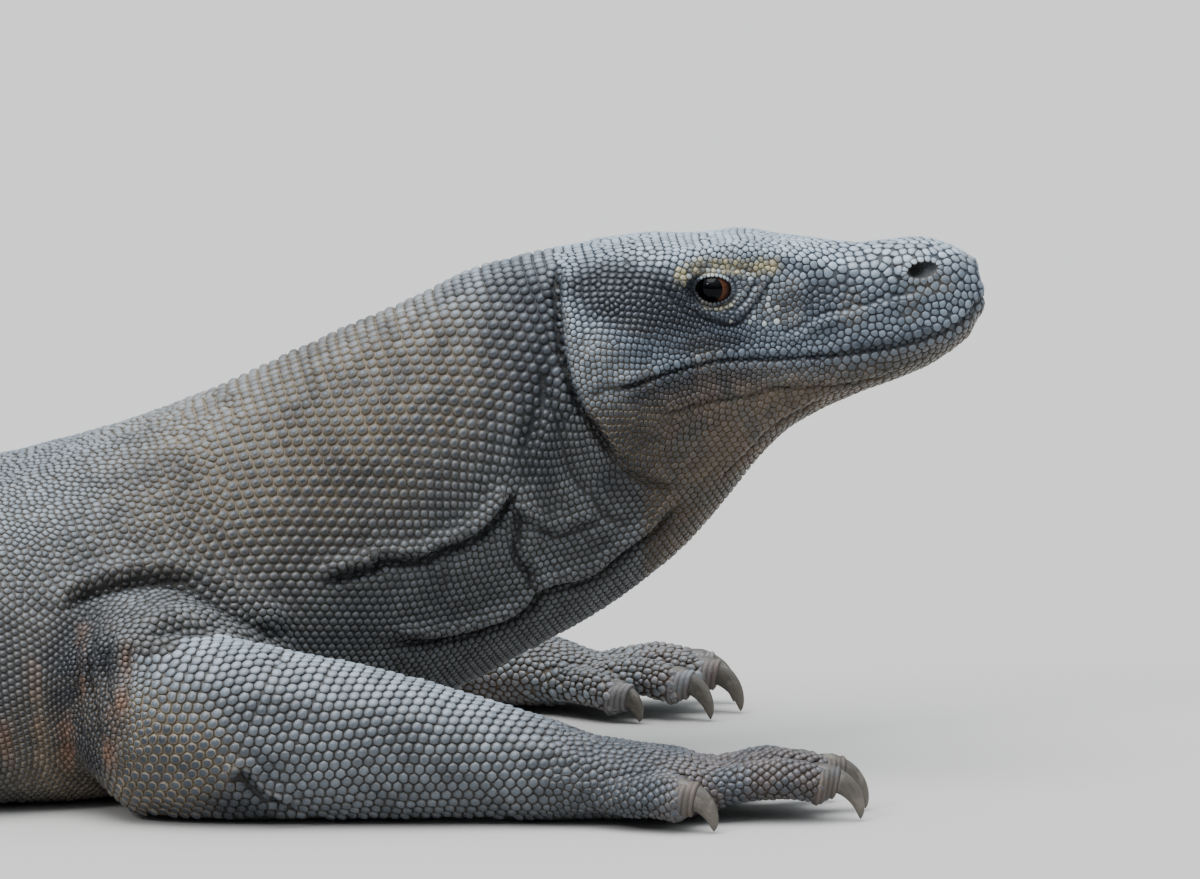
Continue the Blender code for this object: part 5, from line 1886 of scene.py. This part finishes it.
def claw_rings(toe):
    """Sections of a claw: deep and narrow, grooved below, hooked down to its point."""
    across = np.cross(UP, toe.way)
    drop = toe.base[2] - toe.tip[2]
    radius = drop / (math.cos(CLAW_FROM) - math.cos(CLAW_TO))
    turn = full_turn(CLAW_ROUND)
    high, wide = np.cos(turn), np.sin(turn)
    narrow = 1.0 - 0.22 * smooth(0.0, -1.0, high)
    flat = np.where(high < CLAW_FLAT, high + (CLAW_FLAT - high) * 0.75, high)
    rings, marks = [], []
    for share in np.linspace(-CLAW_BACK, 1.0, CLAW_STEPS):
        bent = max(share, 0.0)
        angle = CLAW_FROM + (CLAW_TO - CLAW_FROM) * bent
        along = radius * (math.sin(angle) - math.sin(CLAW_FROM))
        along += min(share, 0.0) / CLAW_BACK * CLAW_ROOTED
        down = radius * (math.cos(CLAW_FROM) - math.cos(angle))
        lean = angle * min(1.0, 3 * bent)
        top = UP * math.cos(lean) + toe.way * math.sin(lean)
        size = 1.14 * (1.0 - bent) ** 0.66 + 0.035
        ring = toe.base + toe.way * along - UP * down + np.outer(flat * toe.deep * size, top)
        rings.append(ring + np.outer(wide * narrow * toe.wide * size, across))
        marks.append(np.stack([flat, wide, np.full(CLAW_ROUND, bent * 3.0)], axis=1))
    return rings, marks


def make_claw(toe, finish):
    rings, marks = claw_rings(toe)
    points, faces = lofted(rings)
    name = f"{toe.part}_{toe.side}_claw_{toe.number}"
    mesh = new_mesh(f"claw_{name}", off_floor(points, CLAW_CLEARANCE), faces)
    marks = np.concatenate(marks + [marks[-1][:1], marks[0][:1]])
    store(mesh, "streak", marks)
    store(mesh, "along", marks[:, 2] / 3.0)
    mesh.materials.append(finish)
    mesh.shade_smooth()
    claw = new_object(f"horn_{name}", mesh)
    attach(claw, "root")
    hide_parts(name)


SHEATH_FROM, SHEATH_TO = -0.0074, 0.0054  # ends of a sheath, measured from where its claw starts
SHEATH_RING = 0.0027  # between two of its rings


def sheath_of(toe):
    """The ringed cuff of skin that wraps the root of a claw: (points, faces, painted shade of its
    grooves).
    """
    across = np.cross(UP, toe.way)
    turn = full_turn(24)
    radius = toe.deep / TOE_ROUNDNESS
    rings, gloom = [], []
    for along in np.linspace(SHEATH_FROM, SHEATH_TO, 22):
        claw_like = float(smooth(-0.0040, 0.0036, along))
        ring = 0.5 - 0.5 * math.cos(2 * math.pi * (along - SHEATH_TO) / SHEATH_RING)
        size = 0.955 * (1.0 - 0.28 * math.exp(-((along - SHEATH_FROM) / 0.0012) ** 2))
        rim = 1.0 - 0.12 * math.exp(-((along - SHEATH_TO) / 0.0006) ** 2)
        size *= rim * (0.955 + 0.05 * ring)
        wide = radius * (0.93 + (toe.wide / radius * 1.28 - 0.93) * claw_like) * size
        deep = radius * (0.93 + (toe.deep / radius * 1.24 - 0.93) * claw_like) * size
        slant = along + 0.0016 * np.cos(turn)
        middle = toe.base + UP * (0.0014 * claw_like - TOE_SUNK)
        spots = middle + np.outer(slant, toe.way) + np.outer(np.cos(turn) * deep, UP)
        rings.append(spots + np.outer(np.sin(turn) * wide, across))
        # Painted shade in the groove between two rings.
        gloom.append(np.full(len(turn), 0.7 * (1.0 - ring) ** 2))
    points, faces = lofted(rings)
    return off_floor(points), faces, np.concatenate(gloom + [gloom[-1][:1], gloom[0][:1]])


def make_sheaths(tube, toes, finish):
    """The cuffs of each hand and foot, as one piece."""
    for part, side in PAWS:
        points, faces, gloom, count = [], [], [], 0
        for toe in toes:
            if (toe.part, toe.side) == (part, side):
                more, corners, shade = sheath_of(toe)
                points.append(more)
                gloom.append(shade)
                faces += [tuple(corner + count for corner in face) for face in corners]
                count += len(more)
        points = np.concatenate(points)
        mesh = new_mesh(f"claw_sheaths_{part}_{side}", points, faces)
        owner = np.full(len(points), HIDE_NODES.index(f"{part}_{side}"))
        own, triangles = mesh_arrays(mesh)
        tone, mark = markings(own, owner, trunk_place(tube, own)[1], normals_of(own, triangles))
        tone[:, 1] = np.maximum(tone[:, 1], 0.50)
        tone[:, 2] = np.maximum(tone[:, 2], 0.20)
        store(mesh, "tone", tone)
        store(mesh, "mark", mark)
        store(mesh, "gloom", np.concatenate(gloom))
        mesh.materials.append(finish)
        mesh.shade_smooth()
        cuffs = new_object(mesh.name, mesh)
        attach(cuffs, "root")


def make_eye(side, finish):
    """An eyeball with its clear bulge turned outwards and a little back."""
    middle, radius = ball_of(side)
    gaze = unit(np.array((-0.24, outward_of(side), 0.03)))
    across = unit(np.cross(gaze, UP))
    circle = circle_of(full_turn(48), across, np.cross(across, gaze))
    rings = []
    for angle in np.linspace(0.0, math.pi, 40)[1:-1]:
        bulge = radius * (0.985 + 0.065 * float(smooth(0.72, 0.30, angle)))
        rings.append(middle + (gaze * math.cos(angle) + circle * math.sin(angle)) * bulge)
    points, faces = lofted(rings)
    points[-2] = middle - gaze * radius * 0.985
    points[-1] = middle + gaze * radius * 1.05
    mesh = new_mesh(f"eyeball_{side}", points, faces)
    bm = bmesh.new()
    bm.from_mesh(mesh)
    bmesh.ops.recalc_face_normals(bm, faces=bm.faces)
    bm.to_mesh(mesh)
    bm.free()
    store(mesh, "off", np.arccos(np.clip(unit(points - middle) @ gaze, -1.0, 1.0)))
    store(mesh, "front", unit(points - middle)[:, 0])
    mesh.materials.append(finish)
    mesh.shade_smooth()
    eye = new_object(f"eyeball_{side}", mesh)
    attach(eye, "root")
    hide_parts(f"eye_{side}")


# ---- the animal ---------------------------------------------------------------------------------
def make_hide(tube, toes):
    stations = trunk_stations(tube)
    shell = trunk_mesh(tube, stations, trunk_radii(tube, stations))
    rough = joined_skin(shell)
    quads = np.empty(len(rough.polygons) * 4, np.int32)
    rough.polygons.foreach_get("vertices", quads)
    quads = quads.reshape(-1, 4)
    points = limbs_smoothed(points_of(rough), quads, tree_of(*mesh_arrays(shell)))
    set_points(rough, points)
    middles = points[quads].mean(axis=1)
    on_head = (middles[:, 0] > 0.545) & (middles[:, 2] > 0.12)
    mesh = refined(rough, np.flatnonzero(on_head).tolist())
    points, triangles = mesh_arrays(mesh)
    points, gloom = worked(points, triangles)
    set_points(mesh, points)
    tree = tree_of(points, triangles)
    places, faces, widths = all_places(tube, shell, stations, points, triangles, tree)
    corners = triangles[faces]
    normals = unit(normals_of(points, triangles)[corners].mean(axis=1))
    # None lie between the hide and the floor that it rests on.
    keep = ~((places[:, 2] < 0.0035) & (normals[:, 2] < -0.7))
    places, normals, widths, corners = places[keep], normals[keep], widths[keep], corners[keep]
    part = owners(places)
    turns = trunk_place(tube, places)[1]
    lies = laid_flat(lies_of(tube, places, part), normals)
    rise, lean = rises_of(places, part, turns)
    depth = 0.85 * rise * widths
    tone, mark = markings(places, part, turns, normals)
    flat = unwrapped(tube, places, part, normals[:, 2] > 0.0)
    coat = dict(
        root=places - normals * depth[:, None],
        out=normals,
        lie=lies,
        height=rise * widths * rng.uniform(0.85, 1.15, len(places)),
        lean=lean,
        unwrapped=np.concatenate([flat, np.zeros((len(flat), 1))], axis=1),
        tint=rng.random(len(places)),  # each scale's own
        tone=tone,
        mark=with_buttons(places, mark),
        gloom=gloom[corners].mean(axis=1),
    )
    colours = hide_colour()
    over = hide_material("scales", colours, None, 0.00012)
    lay_coat(coat, places, normals, lies, widths, part, over)
    under = hide_material("skin", colours, SKIN_CROWN, 0.0005, granules=True)
    make_skin(tube, mesh, points, gloom, places, normals, depth, under)
    make_sheaths(tube, toes, hide_material("claw_sheath", colours, SHEATH_CROWN, 0.0005))


trunk = trunk_tube()
toes = all_toes()
make_hide(trunk, toes)
horn = horn_material()
for toe in toes:
    make_claw(toe, horn)
wet = eye_material()
for side in SIDES:
    make_eye(side, wet)

# ---- floor, light and camera --------------------------------------------------------------------
FLOOR_HALF = 200.0
SKY = (0.87, 0.94, 1.0, 1.0)
# Each light: (name, strength, how wide it looks in degrees, the way it shines).
SUNS = (
    ("soft_sun", 4.4, 50, (0.14, 0.20, -1.0)),
    ("glint", 1.1, 14, (0.60, 0.62, -0.62)),
)
TARGET = Vector((0.576, 0.0, 0.170))
CAMERA_DISTANCE, CAMERA_RISE = 6.0, math.radians(8.6)
LENS = 349.5

corners = [(x * FLOOR_HALF, y * FLOOR_HALF, 0.0) for x, y in ((-1, -1), (1, -1), (1, 1), (-1, 1))]
floor_mesh = new_mesh("floor", corners, [(0, 1, 2, 3)])
floor_mesh.materials.append(floor_material())
floor = new_object("floor", floor_mesh)

world = bpy.data.worlds.new("overcast")
bpy.context.scene.world = world
world.use_nodes = True
sky = Nodes(world.node_tree)
height = sky.parts(sky.add("ShaderNodeTexCoord").outputs["Generated"])[2]
brightness = sky.spread(height, 0.05, 0.95, 0.20, 2.10)
sky.give(world.node_tree.nodes["Background"], {"Color": SKY, "Strength": brightness})
for word, energy, spread, towards in SUNS:
    sun = bpy.data.lights.new(word, "SUN")
    sun.energy = energy
    sun.angle = math.radians(spread)
    sun_object = new_object(word, sun)
    sun_object.rotation_mode = "QUATERNION"
    sun_object.rotation_quaternion = Vector(towards).to_track_quat("-Z", "Y")

lens = bpy.data.cameras.new("camera")
lens.sensor_width = 36
lens.lens = LENS
lens.clip_end = 500
camera = new_object("camera", lens)
reach = Vector((0.0, -math.cos(CAMERA_RISE), math.sin(CAMERA_RISE))) * CAMERA_DISTANCE
camera.location = TARGET + reach
camera.rotation_mode = "QUATERNION"
camera.rotation_quaternion = (-reach).to_track_quat("-Z", "Y")
bpy.context.scene.camera = camera
